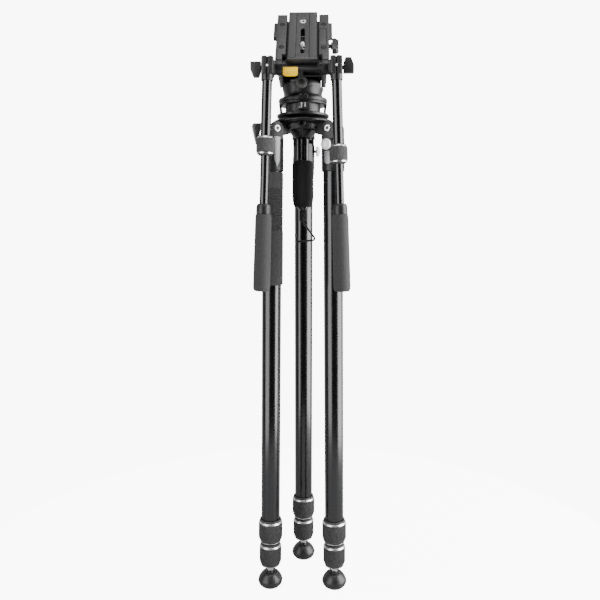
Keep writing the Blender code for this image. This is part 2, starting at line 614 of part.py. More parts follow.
def build_handle(side, sign):
    """One pan handle: split clamp, wing knob, tube, twist collar, sliding rod and grip."""
    name = f"{side}_handle"
    rosette = axis_empty(f"{name}_rosette_axis", (0, *ROSETTE))
    top, turn = handle_frame(sign)
    axis = axis_empty(f"{name}_axis", top, turn)
    length = (Vector(HANDLE_TOP) - Vector(HANDLE_END)).length

    def level(height):
        """A height above the floor, as a distance along the tube from its top."""
        return (height - HANDLE_TOP[2]) * length / (HANDLE_TOP[2] - HANDLE_END[2])

    low, high = sorted((sign * 40.1, sign * 57.4))
    clamp = block(f"{name}_clamp", (low, -23.4, -13), (high, 9.4, 12), PLASTIC, parent=rosette, bevel=2.5)
    low, high = sorted((sign * 38, sign * 43))
    disc = rod(f"{name}_clamp_disc", ROSETTE_R, (high, low), None, turn=(0, 90, 0), parent=rosette, cutter=True)
    neck = turned(f"{name}_clamp_neck", [(0, -5), (8.8, -5), (8.8, -21), (0, -21)], None, parent=axis, cutter=True)
    combine(clamp, "UNION", disc, neck)
    bore = rod(f"{name}_clamp_bore", HANDLE_R + GAP, (7, -40), None, parent=axis, cutter=True)
    split = block(f"{name}_clamp_split", (-0.9, -40, -40), (0.9, -2, 40), None, parent=axis, cutter=True)
    low, high = sorted((sign * 50, sign * 58))
    screw_hole = rod(f"{name}_bolt_hole", 3.4, (high, low), None, turn=(0, 90, 0), parent=rosette, steps=12, cutter=True)
    combine(clamp, "DIFFERENCE", bore, split, screw_hole)

    low, high = sorted((sign * 50.4, sign * 61.5))
    knob = rod(f"{name}_wing_knob", 3, (high, low), PLASTIC, turn=(0, 90, 0), parent=rosette, steps=12)
    wing = [(59.6, -8.3), (74.8, -8.3), (74.8, 3), (70.5, 13.5), (62.5, 13.5), (59.6, 6)]
    wing = [(sign * x, sign * z) for x, z in wing]
    vane = outline(f"{name}_wing", wing[::sign], 8.6, None, turn=(90, 0, 0), parent=rosette, cutter=True)
    combine(knob, "UNION", vane)

    collar_top = HANDLE_COLLAR_Z[side]
    collar_ends = (collar_top, collar_top - HANDLE_COLLAR_LENGTH)
    tube_ends = (6.5, level(collar_top - 19))
    turned(f"{name}_tube", ring(HANDLE_R, ROD_R + GAP, tube_ends), ANODISED, parent=axis)
    collar_low_high = [level(height) + HANDLE_TOP[2] for height in collar_ends]
    twist_collar(
        f"{name}_collar", collar_low_high, HANDLE_COLLAR_R, HANDLE_R + GAP, ROD_R + GAP, HANDLE_TOP[2], axis, steps=20
    )
    rod(f"{name}_rod", ROD_R, (level(808), level(600)), ANODISED, parent=axis)
    grip_low, grip_high = level(493), level(621)
    grip = [
        (9.4, grip_high),
        (10.1, grip_high - 1),
        (10.1, level(606)),
        (11.8, level(604)),
        (12.2, level(560)),
        (GRIP_R, level(515)),
        (GRIP_R, grip_low + 3),
        (GRIP_R - 2.5, grip_low),
        (0, grip_low),
    ]
    handle_grip = turned(f"{name}_grip", [(0, grip_high), *grip], FOAM, parent=axis)
    bore = rod(f"{name}_grip_bore", ROD_R + GAP, (grip_high + 9, level(600) - GAP), None, parent=axis, cutter=True)
    combine(handle_grip, "DIFFERENCE", bore)


for leg_side, leg_azimuth in LEGS.items():
    leg_hinge = build_leg(leg_side, leg_azimuth)
    if leg_side == "left":
        grip_ends = [height - HINGE_Z for height in LEG_GRIP]
        turned("left_leg_grip", ring(LEG_GRIP_R, UPPER_R + GAP, grip_ends), FOAM, parent=leg_hinge, steps=24)
build_canopy()
build_clamp_lever()
build_level()
build_head_base()
tilt_axis = axis_empty("tilt_axis", (0, 0, TILT_Z), (NOSE_UP, 0, 0))
build_cradle(tilt_axis)
build_platform(tilt_axis)
for handle_side, handle_sign in {"left": -1, "right": 1}.items():
    build_handle(handle_side, handle_sign)
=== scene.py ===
import json
import math

import bmesh
import bpy
from mathutils import Matrix, Vector


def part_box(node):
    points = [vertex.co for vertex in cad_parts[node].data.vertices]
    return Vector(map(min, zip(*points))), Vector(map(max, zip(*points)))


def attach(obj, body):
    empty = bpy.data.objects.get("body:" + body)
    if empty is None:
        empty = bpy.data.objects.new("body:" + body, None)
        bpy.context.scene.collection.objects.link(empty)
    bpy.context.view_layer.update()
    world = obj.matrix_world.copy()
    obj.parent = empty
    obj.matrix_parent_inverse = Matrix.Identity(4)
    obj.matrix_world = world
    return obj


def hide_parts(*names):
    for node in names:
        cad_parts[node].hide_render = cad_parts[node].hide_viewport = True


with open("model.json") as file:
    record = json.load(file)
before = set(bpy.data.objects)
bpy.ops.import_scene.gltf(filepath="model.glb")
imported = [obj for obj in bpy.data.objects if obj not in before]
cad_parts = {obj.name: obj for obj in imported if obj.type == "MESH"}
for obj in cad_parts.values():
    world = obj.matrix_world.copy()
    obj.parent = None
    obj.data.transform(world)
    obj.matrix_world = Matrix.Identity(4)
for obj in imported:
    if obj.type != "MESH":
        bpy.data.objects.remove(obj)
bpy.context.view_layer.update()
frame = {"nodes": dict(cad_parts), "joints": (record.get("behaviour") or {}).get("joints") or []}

# Studio: a round sheet of pale paper under a white surround.
# What the metal reflects of the surround is bright behind the tripod and dim behind the camera.
# A broad soft box stands at the right, a weaker one at the front left, and a small one hangs overhead.
WHITE_GLOW = 9.0
FLOOR_RADIUS = 0.62
paper = bpy.data.materials.new("backdrop_paper")
paper.use_nodes = True
page = paper.node_tree.nodes["Principled BSDF"]
page.inputs["Base Color"].default_value = (0.42, 0.42, 0.42, 1)
page.inputs["Roughness"].default_value = 0.9
page.inputs["Emission Color"].default_value = (1, 1, 1, 1)
glow = paper.node_tree.nodes.new("ShaderNodeMath")
glow.operation = "MULTIPLY"
glow.inputs[1].default_value = WHITE_GLOW
ray = paper.node_tree.nodes.new("ShaderNodeLightPath")
paper.node_tree.links.new(ray.outputs["Is Camera Ray"], glow.inputs[0])
paper.node_tree.links.new(glow.outputs["Value"], page.inputs["Emission Strength"])
floor_form = bmesh.new()
bmesh.ops.create_circle(floor_form, cap_ends=True, segments=96, radius=FLOOR_RADIUS)
floor_mesh = bpy.data.meshes.new("floor")
floor_form.to_mesh(floor_mesh)
floor_form.free()
floor_mesh.materials.append(paper)
floor = bpy.data.objects.new("floor", floor_mesh)
bpy.context.scene.collection.objects.link(floor)

surround = bpy.data.worlds.new("white_surround")
surround.use_nodes = True
sky = surround.node_tree
wall = sky.nodes["Background"]
wall.inputs["Color"].default_value = (1, 1, 1, 1)
facing = sky.nodes.new("ShaderNodeSeparateXYZ")
sky.links.new(sky.nodes.new("ShaderNodeTexCoord").outputs["Generated"], facing.inputs["Vector"])
falloff = sky.nodes.new("ShaderNodeMapRange")
falloff.interpolation_type = "SMOOTHSTEP"
falloff.inputs["From Min"].default_value = -0.3
falloff.inputs["From Max"].default_value = 0.9
falloff.inputs["To Min"].default_value = 0.05
falloff.inputs["To Max"].default_value = 1.0
sky.links.new(facing.outputs["Y"], falloff.inputs["Value"])
seen = sky.nodes.new("ShaderNodeMix")
seen.inputs["B"].default_value = WHITE_GLOW
sky.links.new(sky.nodes.new("ShaderNodeLightPath").outputs["Is Camera Ray"], seen.inputs["Factor"])
sky.links.new(falloff.outputs["Result"], seen.inputs["A"])
sky.links.new(seen.outputs["Result"], wall.inputs["Strength"])
bpy.context.scene.world = surround


def soft_box(name, place, aim, width, height, power):
    """An area light at a place, facing the point it lights."""
    lamp = bpy.data.lights.new(name, "AREA")
    lamp.shape = "RECTANGLE"
    lamp.size = width
    lamp.size_y = height
    lamp.energy = power
    box = bpy.data.objects.new(name, lamp)
    box.location = place
    box.rotation_euler = (Vector(aim) - Vector(place)).to_track_quat("-Z", "Y").to_euler()
    bpy.context.scene.collection.objects.link(box)


soft_box("left_soft_box", (-0.99, -0.95, 0.55), (0, 0, 0.55), 1.1, 2.6, 38)
soft_box("right_soft_box", (1.36, -0.25, 0.55), (0, 0, 0.55), 1.4, 2.6, 125)
soft_box("overhead_soft_box", (0.1, -0.5, 2.0), (0, 0, 0.7), 1.0, 0.8, 12)

eye = bpy.data.cameras.new("camera")
eye.lens = 37.63
eye.sensor_width = 36
eye.clip_start = 0.01
camera = bpy.data.objects.new("camera", eye)
camera.location = (0.0223, -1.0, 0.592)
camera.rotation_euler = (math.radians(83.085), 0, math.radians(1.54))
bpy.context.scene.collection.objects.link(camera)
bpy.context.scene.camera = camera


# Leg tubes: three sizes of drawn aluminium tube, anodised gloss black, one sliding in the next.
# The finish shows faint drawing lines along the tube, and a bright steel stud carries the foot.
def new_finish(name, colour, roughness, metallic):
    """A material, its shader, and a Texture Coordinate node's Object output."""
    finish = bpy.data.materials.new(name)
    finish.use_nodes = True
    tree = finish.node_tree
    shader = tree.nodes["Principled BSDF"]
    shader.inputs["Base Color"].default_value = (*colour, 1)
    shader.inputs["Roughness"].default_value = roughness
    shader.inputs["Metallic"].default_value = metallic
    place = tree.nodes.new("ShaderNodeTexCoord").outputs["Object"]
    return finish, tree, shader, place


def speckle(tree, place, scale, detail=4.0, stretch=(1, 1, 1)):
    """Noise at a scale in cycles per metre, stretched along an axis where asked."""
    spread = tree.nodes.new("ShaderNodeMapping")
    spread.inputs["Scale"].default_value = stretch
    tree.links.new(place, spread.inputs["Vector"])
    noise = tree.nodes.new("ShaderNodeTexNoise")
    noise.inputs["Scale"].default_value = scale
    noise.inputs["Detail"].default_value = detail
    tree.links.new(spread.outputs["Vector"], noise.inputs["Vector"])
    return noise.outputs["Fac"]


def between(tree, value, low, high):
    """A value of 0 to 1, mapped to lie between two others."""
    span = tree.nodes.new("ShaderNodeMapRange")
    span.inputs["From Min"].default_value = 0.3
    span.inputs["From Max"].default_value = 0.7
    span.inputs["To Min"].default_value = low
    span.inputs["To Max"].default_value = high
    tree.links.new(value, span.inputs["Value"])
    return span.outputs["Result"]


def toned(tree, shader, value, dark, light):
    """The base colour varied from dark to light by a value."""
    ramp = tree.nodes.new("ShaderNodeValToRGB")
    ramp.color_ramp.elements[0].position = 0.3
    ramp.color_ramp.elements[1].position = 0.7
    ramp.color_ramp.elements[0].color = (*dark, 1)
    ramp.color_ramp.elements[1].color = (*light, 1)
    tree.links.new(value, ramp.inputs["Fac"])
    tree.links.new(ramp.outputs["Color"], shader.inputs["Base Color"])


def raised(tree, shader, value, depth, strength=1.0):
    """A bump of a real depth in metres."""
    bump = tree.nodes.new("ShaderNodeBump")
    bump.inputs["Distance"].default_value = depth
    bump.inputs["Strength"].default_value = strength
    tree.links.new(value, bump.inputs["Height"])
    tree.links.new(bump.outputs["Normal"], shader.inputs["Normal"])


anodised, tree, shader, place = new_finish("gloss_black_anodised", (0.08, 0.08, 0.082), 0.22, 1.0)
drawing_lines = speckle(tree, place, 500, 2, (1, 1, 0.01))
tree.links.new(between(tree, speckle(tree, place, 25, 3), 0.2, 0.25), shader.inputs["Roughness"])
toned(tree, shader, drawing_lines, (0.062, 0.062, 0.064), (0.07, 0.07, 0.072))

steel, tree, shader, place = new_finish("bright_steel", (0.72, 0.72, 0.73), 0.18, 1.0)
tree.links.new(between(tree, speckle(tree, place, 700, 4), 0.22, 0.36), shader.inputs["Roughness"])
toned(tree, shader, speckle(tree, place, 220, 3), (0.62, 0.62, 0.63), (0.8, 0.8, 0.81))
raised(tree, shader, speckle(tree, place, 1500, 2), 0.000004, 0.3)

joints = {joint["name"]: joint for joint in frame["joints"]}


def eased(profile, ease):
    """The profile with each hard corner cut to a small round; short edges and slight bends are left."""
    shortest, slight = 0.05, 0.3
    if not ease:
        return profile
    rounded = []
    for i, point in enumerate(profile):
        here = Vector(point)
        if point[0] == 0 or i in (0, len(profile) - 1) and 0 in (profile[0][0], profile[-1][0]):
            rounded.append(point)
            continue
        before, after = Vector(profile[i - 1]), Vector(profile[(i + 1) % len(profile)])
        a, b = before - here, after - here
        if min(a.length, b.length) < shortest or abs(math.pi - a.angle(b)) < slight:
            rounded.append(point)
            continue
        start = here + a.normalized() * min(ease, a.length * 0.4)
        end = here + b.normalized() * min(ease, b.length * 0.4)
        for t in (0, 0.33, 0.67, 1):
            at = start * (1 - t) ** 2 + here * 2 * t * (1 - t) + end * t**2
            rounded.append(tuple(at))
    return rounded


def lathe(profile, at=Matrix(), segments=72, ease=0.35, smooth=35):
    """A mesh turned from (radius, height) points in mm; a profile off the axis is closed on itself."""
    rim = eased(profile, ease)
    closed = rim[0][0] > 0
    form = bmesh.new()
    rings = []
    for radius, height in rim:
        count = segments if radius > 0 else 1
        turn = [2 * math.pi * i / segments for i in range(count)]
        rings.append([form.verts.new((radius * math.cos(a), radius * math.sin(a), height)) for a in turn])
    pairs = list(zip(rings, rings[1:]))
    if closed:
        pairs.append((rings[-1], rings[0]))
    for upper, lower in pairs:
        for i in range(segments):
            j = (i + 1) % segments
            corners = [upper[i % len(upper)], upper[j % len(upper)]]
            corners += [lower[j % len(lower)], lower[i % len(lower)]]
            corners = list(dict.fromkeys(corners))
            if len(corners) > 2:
                form.faces.new(corners)
    bmesh.ops.recalc_face_normals(form, faces=form.faces)
    bmesh.ops.transform(form, matrix=at @ Matrix.Scale(0.001, 4), verts=form.verts)
    mesh = bpy.data.meshes.new("turned")
    form.to_mesh(mesh)
    form.free()
    mesh.shade_smooth()
    mesh.set_sharp_from_angle(angle=math.radians(smooth))
    return mesh


def fitted(name, mesh, finish, body, slot, *stands_for):
    """The finished piece, riding on its body, in place of the CAD nodes it stands for."""
    mesh.materials.clear()
    mesh.materials.append(finish)
    piece = bpy.data.objects.new(name, mesh)
    bpy.context.scene.collection.objects.link(piece)
    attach(piece, body)
    if stands_for:
        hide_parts(*stands_for)


def leg_frame(leg):
    """The leg's own frame at its hinge: Z up the leg, X out from the tripod's middle."""
    up = -Vector(joints[f"{leg}_middle_slide"]["axis"])
    across = -Vector(joints[f"{leg}_spread"]["axis"])
    out = across.cross(up).normalized()
    turn = Matrix((out, up.cross(out), up)).transposed().to_4x4()
    return Matrix.Translation(Vector(joints[f"{leg}_spread"]["pos_m"])) @ turn


polished, tree, shader, place = new_finish("polished_steel_stud", (0.75, 0.75, 0.75), 0.14, 1.0)
tree.links.new(between(tree, speckle(tree, place, 500, 4), 0.1, 0.2), shader.inputs["Roughness"])
raised(tree, shader, speckle(tree, place, 1500, 2), 0.00001, 0.2)

LEGS = ("rear_leg", "left_leg", "right_leg")
# Each tube's radius, bore, top and end, in mm; heights are up the leg from its hinge.
TUBES = {"upper": (15, 13.6, -20, -644), "middle": (13, 11.6, -34, -684), "lower": (11, 9.6, -44, -693)}
PLUG_RADIUS, PLUG_END, PLUG_DEPTH = 5.6, -706.6, 3
for leg in LEGS:
    at = leg_frame(leg)
    for section, (radius, bore, top, end) in TUBES.items():
        body = leg if section == "upper" else f"{leg}_{section}"
        profile = [(radius, top), (radius, end), (bore, end), (bore, top)]
        if section == "lower":
            plug = [(PLUG_RADIUS, end), (PLUG_RADIUS, PLUG_END), (0, PLUG_END)]
            profile[2:3] = [*plug, (0, end + PLUG_DEPTH), (bore, end + PLUG_DEPTH)]
        node = f"{leg}_{section}_tube"
        fitted(node + "_skin", lathe(profile, at, 96), anodised, body, "black_anodised", node)
    stem = [(6.9, -694), (6.9, -695.6), (5.8, -696), (5.8, -706.5), (5.5, -706.5), (5.5, -694)]
    fitted(f"{leg}_stem_ring", lathe(stem, at, 72, 0.15), polished, f"{leg}_lower", "bright_steel")


# Foot: a moulded rubber boot on the lower tube's plug, a rounded cone above a round pad.
# The rubber is satin black with a fine grain, and a shallow groove runs round the sole.
rubber, tree, shader, place = new_finish("matt_black_rubber", (0.014, 0.014, 0.014), 0.5, 0.0)
toned(tree, shader, speckle(tree, place, 120, 6), (0.007, 0.007, 0.007), (0.013, 0.013, 0.013))
tree.links.new(between(tree, speckle(tree, place, 400, 4), 0.32, 0.44), shader.inputs["Roughness"])
raised(tree, shader, speckle(tree, place, 2600, 3), 0.00006, 0.5)

FOOT = [(0, 27), (6.2, 27), (8.6, 26.7), (11.4, 25.4), (14.2, 23), (16.6, 19.8), (18.5, 16.6), (19.6, 13.8)]
FOOT += [(20, 12.2), (20, 11.2), (19.7, 10.9), (19.7, 10.3), (19.9, 9.9), (19.6, 8.4), (18.5, 5.8)]
FOOT += [(16.6, 3.4), (14.4, 1.6), (12.4, 0.5), (11.2, 0), (9.6, 0), (9, 0.6), (7.2, 0.6), (6.6, 0), (0, 0)]
for leg in LEGS:
    low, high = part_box(f"{leg}_foot")
    at = Matrix.Translation(((low.x + high.x) / 2, (low.y + high.y) / 2, 0))
    boot = lathe(FOOT, at, 72, 0.3, 50)
    fitted(f"{leg}_boot", boot, rubber, f"{leg}_lower", "black_rubber", f"{leg}_foot")


# Twist locks: a rubber-sleeved ring under each leg tube, turned by hand to grip the next tube.
# A black lip and a bright chamfer stand above the grip, which is moulded in fine upright ribs.
# A thin bright hem closes the ring's foot.
grip_rubber, tree, shader, place = new_finish("ribbed_grip_rubber", (0.03, 0.03, 0.03), 0.5, 0.0)
toned(tree, shader, speckle(tree, place, 420, 5), (0.013, 0.013, 0.013), (0.038, 0.038, 0.038))
tree.links.new(between(tree, speckle(tree, place, 500, 3), 0.48, 0.7), shader.inputs["Roughness"])
raised(tree, shader, speckle(tree, place, 2000, 3), 0.00004, 0.4)


def rib_tree():
    """A node tree that stands upright ribs round a circle; the inputs are its sizes, in metres."""
    group = bpy.data.node_groups.new("grip_ribs", "GeometryNodeTree")
    made = group.interface
    made.new_socket("Ribs", in_out="OUTPUT", socket_type="NodeSocketGeometry")
    made.new_socket("Count", in_out="INPUT", socket_type="NodeSocketInt")
    for label in ("Radius", "Width", "Depth", "Length"):
        made.new_socket(label, in_out="INPUT", socket_type="NodeSocketFloat")
    made.new_socket("Rubber", in_out="INPUT", socket_type="NodeSocketMaterial")
    nodes, links = group.nodes, group.links
    sizes = nodes.new("NodeGroupInput").outputs
    circle = nodes.new("GeometryNodeMeshCircle")
    circle.fill_type = "NONE"
    links.new(sizes["Count"], circle.inputs["Vertices"])
    links.new(sizes["Radius"], circle.inputs["Radius"])
    rib = nodes.new("GeometryNodeMeshCylinder")
    rib.fill_type = "NGON"
    rib.inputs["Vertices"].default_value = 6
    rib.inputs["Radius"].default_value = 0.5
    rib.inputs["Depth"].default_value = 1.0
    size = nodes.new("ShaderNodeCombineXYZ")
    links.new(sizes["Depth"], size.inputs["X"])
    links.new(sizes["Width"], size.inputs["Y"])
    links.new(sizes["Length"], size.inputs["Z"])
    number = nodes.new("GeometryNodeInputIndex")
    step = nodes.new("ShaderNodeMath")
    step.operation = "DIVIDE"
    step.inputs[0].default_value = 2 * math.pi
    links.new(sizes["Count"], step.inputs[1])
    angle = nodes.new("ShaderNodeMath")
    angle.operation = "MULTIPLY"
    links.new(number.outputs["Index"], angle.inputs[0])
    links.new(step.outputs["Value"], angle.inputs[1])
    turn = nodes.new("ShaderNodeCombineXYZ")
    links.new(angle.outputs["Value"], turn.inputs["Z"])
    stand = nodes.new("GeometryNodeInstanceOnPoints")
    links.new(circle.outputs["Mesh"], stand.inputs["Points"])
    links.new(rib.outputs["Mesh"], stand.inputs["Instance"])
    links.new(turn.outputs["Vector"], stand.inputs["Rotation"])
    links.new(size.outputs["Vector"], stand.inputs["Scale"])
    real = nodes.new("GeometryNodeRealizeInstances")
    links.new(stand.outputs["Instances"], real.inputs["Geometry"])
    colour = nodes.new("GeometryNodeSetMaterial")
    links.new(real.outputs["Geometry"], colour.inputs["Geometry"])
    links.new(sizes["Rubber"], colour.inputs["Material"])
    links.new(colour.outputs["Geometry"], nodes.new("NodeGroupOutput").inputs["Ribs"])
    return group


GRIP_RIBS = rib_tree()


def ribs_round(finish, at, height, count, radius, width, depth, length):
    """A mesh of upright ribs round an axis, in mm, centred at a height in the frame given."""
    carrier = bpy.data.objects.new("carrier", bpy.data.meshes.new("carrier"))
    bpy.context.scene.collection.objects.link(carrier)
    ribs = carrier.modifiers.new("ribs", "NODES")
    ribs.node_group = GRIP_RIBS
    wanted = {"Count": count, "Radius": radius / 1000, "Width": width / 1000, "Depth": depth / 1000}
    wanted.update({"Length": length / 1000, "Rubber": finish})
    for item in GRIP_RIBS.interface.items_tree:
        if item.in_out == "INPUT":
            ribs[item.identifier] = wanted[item.name]
    shown = carrier.evaluated_get(bpy.context.evaluated_depsgraph_get())
    mesh = bpy.data.meshes.new_from_object(shown)
    bpy.data.objects.remove(carrier)
    mesh.transform(at @ Matrix.Translation((0, 0, height / 1000)))
    return mesh


LOCK_END, LOCK_STEP, LOCK_RIBS = -38.6, -29, 66
LOCK = [(16.2, 0), (17.4, -0.6), (17.4, -3.2), (19, -5.6), (19, -31.4), (18.2, -34), (16.4, LOCK_END)]
CHAMFER = [(17.5, -3.3), (18.9, -5), (19.15, -5.4), (19.15, -5.9), (17.2, -5.9), (17.2, -3.3)]
HEM = [(17.1, -37.2), (16.55, LOCK_END), (15.9, LOCK_END), (15.9, -37.2)]
# Each lock's top, how much slimmer it is than the profile, and its wide and narrow bores.
LOCKS = {"upper": (-617, 0, 15.4, 13.4), "lower": (-657.8, 1.5, 13.4, 11.4)}
for leg in LEGS:
    at = leg_frame(leg)
    for lock, (top, slim, wide, narrow) in LOCKS.items():
        body, node = f"{leg}_{lock}_lock", f"{leg}_{lock}_collar"
        profile = [(r - slim, top + z) for r, z in LOCK]
        profile += [(narrow, top + LOCK_END), (narrow, top + LOCK_STEP), (wide, top + LOCK_STEP), (wide, top)]
        fitted(node + "_sleeve", lathe(profile, at, 84), grip_rubber, body, "black_rubber", node)
        for label, outline in (("chamfer", CHAMFER), ("hem", HEM)):
            ring = lathe([(r - slim, top + z) for r, z in outline], at, 84, 0.2)
            fitted(f"{node}_{label}", ring, steel, body, "bright_steel")
        ribs = ribs_round(grip_rubber, at, top - 19, LOCK_RIBS, 18.9 - slim, width=1.0, depth=1.0, length=24)
        fitted(node + "_ribs", ribs, grip_rubber, body, "black_rubber")


# Leg sleeve: a tube of closed-cell foam pushed over the left leg for carrying.
# The foam is charcoal grey, matt and pitted, moulded with shallow rings.
foam, tree, shader, place = new_finish("charcoal_foam", (0.04, 0.04, 0.04), 0.85, 0.0)
toned(tree, shader, speckle(tree, place, 700, 6), (0.016, 0.016, 0.016), (0.034, 0.034, 0.034))
pores = tree.nodes.new("ShaderNodeTexVoronoi")
pores.inputs["Scale"].default_value = 900
tree.links.new(place, pores.inputs["Vector"])
raised(tree, shader, pores.outputs["Distance"], 0.0003, 0.6)
shader.inputs["Sheen Weight"].default_value = 0.03
shader.inputs["Sheen Roughness"].default_value = 0.5

RIDGES, RIDGE_PITCH, RIDGE_HEIGHT = 54, 1.2, 0.6
sleeve = [(15.35, -64), (16.4, -64.2), (17, -65.2), (17.1, -86)]
sleeve += [(16.9 + RIDGE_HEIGHT * math.cos(math.pi * i), -88 - RIDGE_PITCH * i) for i in range(RIDGES)]
sleeve += [(17.2, -152.5), (17.5, -155), (17.5, -234), (17, -235.6), (15.35, -236)]
leg_sleeve = lathe(sleeve, leg_frame("left_leg"), 84, 0, 60)
fitted("left_leg_foam_sleeve", leg_sleeve, foam, "left_leg", "black_foam", "left_leg_grip")


# Shoulders: satin black castings clamped round the top of each leg, with two cheeks up to the hinge pin.
# A thin web closes the fork's outer side; a lighter metal plate on each cheek is a painted highlight, the
# soft box's reflection.
# The plates have blunt ends, but for one on the left leg, which is pointed; a sprung knob sets the angle.
casting, tree, shader, place = new_finish("satin_black_casting", (0.01, 0.01, 0.011), 0.36, 0.25)
tree.links.new(between(tree, speckle(tree, place, 350, 5), 0.28, 0.46), shader.inputs["Roughness"])
toned(tree, shader, speckle(tree, place, 70, 4), (0.007, 0.007, 0.008), (0.014, 0.014, 0.015))
raised(tree, shader, speckle(tree, place, 1500, 4), 0.00002, 0.3)

# Painted highlight: a lighter metal standing for the lights' reflections on black satin and nylon, used for
# the shoulder plates and the clamp lever's blade.
highlight_metal, tree, shader, place = new_finish("painted_highlight_metal", (0.2, 0.2, 0.205), 0.4, 0.9)
grinding = speckle(tree, place, 1300, 3, (1, 1, 0.05))
tree.links.new(between(tree, grinding, 0.28, 0.46), shader.inputs["Roughness"])
toned(tree, shader, speckle(tree, place, 90, 4), (0.16, 0.16, 0.165), (0.24, 0.24, 0.245))
raised(tree, shader, grinding, 0.00001, 0.4)

satin_knob, tree, shader, place = new_finish("satin_chromed_knob", (0.8, 0.8, 0.8), 0.5, 0.4)
tree.links.new(between(tree, speckle(tree, place, 300, 4), 0.42, 0.55), shader.inputs["Roughness"])
toned(tree, shader, speckle(tree, place, 150, 4), (0.66, 0.66, 0.66), (0.8, 0.8, 0.8))


def plate_mesh(outline, low, high, at=Matrix(), bevel=0.5):
    """A flat outline in local XY between two heights, in mm, with its edges rounded."""
    form = bmesh.new()
    bottom = [form.verts.new((x, y, low)) for x, y in outline]
    base = form.faces.new(bottom)
    lifted = bmesh.ops.extrude_face_region(form, geom=[base])["geom"]
    corners = [v for v in lifted if isinstance(v, bmesh.types.BMVert)]
    bmesh.ops.translate(form, vec=(0, 0, high - low), verts=corners)
    bmesh.ops.recalc_face_normals(form, faces=form.faces)
    if bevel:
        hard = 0.6
        edges = [e for e in form.edges if e.calc_face_angle(0) > hard]
        bmesh.ops.bevel(
            form, geom=edges, offset=bevel, segments=3, profile=0.5, affect="EDGES", clamp_overlap=True
        )
    bmesh.ops.transform(form, matrix=at @ Matrix.Scale(0.001, 4), verts=form.verts)
    mesh = bpy.data.meshes.new("plate")
    form.to_mesh(mesh)
    form.free()
    mesh.shade_smooth()
    mesh.set_sharp_from_angle(angle=math.radians(35))
    return mesh


def joined(*meshes):
    """One mesh of several."""
    form = bmesh.new()
    for mesh in meshes:
        form.from_mesh(mesh)
    whole = bpy.data.meshes.new("joined")
    form.to_mesh(whole)
    form.free()
    whole.shade_smooth()
    whole.set_sharp_from_angle(angle=math.radians(35))
    return whole


def sweep(centre, radius, start, end, count):
    """Points on an arc between two angles in degrees."""
    angles = [math.radians(start + (end - start) * i / (count - 1)) for i in range(count)]
    return [(centre[0] + radius * math.cos(a), centre[1] + radius * math.sin(a)) for a in angles]


def hexagon(radius):
    """A hexagon's corners, for a screw's key hole."""
    return sweep((0, 0), radius, 0, 300, 6)


ON_SIDE = Matrix.Rotation(math.radians(90), 4, "X")
SOCKET = [(0, -12), (16.6, -12), (17.3, -13.2), (17.3, -61.5), (16.4, -63), (15.3, -63), (15.3, -20)]
SOCKET += [(0, -20)]
CHEEK = [(-10.5, -16), *sweep((0, 0), 10.5, 180, 0, 25), (10.5, -16)]
CHEEK_MIDDLES, CHEEK_HALF = (-14.6, 14.6), 2.5
WEB = [(8.9, -14), (10.3, -14), (10.3, -3), (8.9, -3)]
BLUNT_HIGHLIGHT = [(-5.8, -33), (5.8, -33), *sweep((0, -47), 5.8, 0, -180, 15)]
POINTED_HIGHLIGHT = [(-5, -12), (5, -12), (4.6, -46), (0, -58), (-4.6, -46)]
HIGHLIGHT_IN, HIGHLIGHT_OUT = 16.2, 17.7
PIN = [(0, 18.2), (1.6, 18.2), (1.6, 18.5), (4.4, 18.5), (5.2, 17.9), (5.2, 17.5), (4, 17.5)]
PIN += [(r, -z) for r, z in reversed(PIN)]
PIN_FACES, KEY_HOLE_SHADE_RADIUS = (-18.5, 18.5), 2.9
KNOB_DROP, KNOB_RADIUS, KNOB_FOOT, KNOB_RISE = -0.024, 8.2, 22.3, 5
KNOB_STEPS = [a / 12 * 1.5 for a in range(13)]
KNOB = [(KNOB_RADIUS * math.sin(a), KNOB_FOOT + KNOB_RISE * math.cos(a)) for a in KNOB_STEPS]
KNOB += [(KNOB_RADIUS, 21.4), (7.6, 20.4), (2.5, 20.4), (2.5, 17.2), (0, 17.2)]
WASHER = [(9.2, 17.9), (9.2, 17.1), (3.1, 17.1), (3.1, 17.9)]
for leg in LEGS:
    at = leg_frame(leg)
    across = at @ ON_SIDE
    cheeks = [plate_mesh(CHEEK, y - CHEEK_HALF, y + CHEEK_HALF, across, 0.6) for y in CHEEK_MIDDLES]
    fork = joined(lathe(SOCKET, at), *cheeks, plate_mesh(WEB, -12.6, 12.6, across, 0.3))
    fitted(f"{leg}_shoulder_casting", fork, casting, leg, "satin_black_casting", f"{leg}_shoulder")
    # Painted highlight: the plates on both cheeks are lighter metal where the soft box reflects in the satin
    # black.
    outer = POINTED_HIGHLIGHT if leg == "left_leg" else BLUNT_HIGHLIGHT
    knob_side = plate_mesh(BLUNT_HIGHLIGHT, HIGHLIGHT_IN, HIGHLIGHT_OUT, across, 0.5)
    highlight_plates = joined(knob_side, plate_mesh(outer, -HIGHLIGHT_OUT, -HIGHLIGHT_IN, across, 0.5))
    fitted(f"{leg}_shoulder_highlight_plates", highlight_plates, highlight_metal, leg, "satin_black_casting")
    fitted(f"{leg}_hinge_pin", lathe(PIN, across, 48, 0.2), steel, leg, "bright_steel", f"{leg}_pin")
    # Painted shade: each hex key hole is a flat near-black hexagon on the pin's face, not a hole.
    key_hole_shades = [plate_mesh(hexagon(KEY_HOLE_SHADE_RADIUS), y - 0.1, y + 0.1, across, 0) for y in PIN_FACES]
    fitted(f"{leg}_pin_key_hole_shades", joined(*key_hole_shades), casting, leg, "satin_black_casting")
    knob_at = at @ Matrix.Translation((0, 0, KNOB_DROP)) @ ON_SIDE
    knob = lathe(KNOB, knob_at, 64, 0)
    fitted(f"{leg}_angle_knob_dome", knob, satin_knob, f"{leg}_knob", "bright_steel", f"{leg}_angle_knob")
    fitted(f"{leg}_knob_washer", lathe(WASHER, knob_at, 48, 0.2), casting, leg, "satin_black_casting")


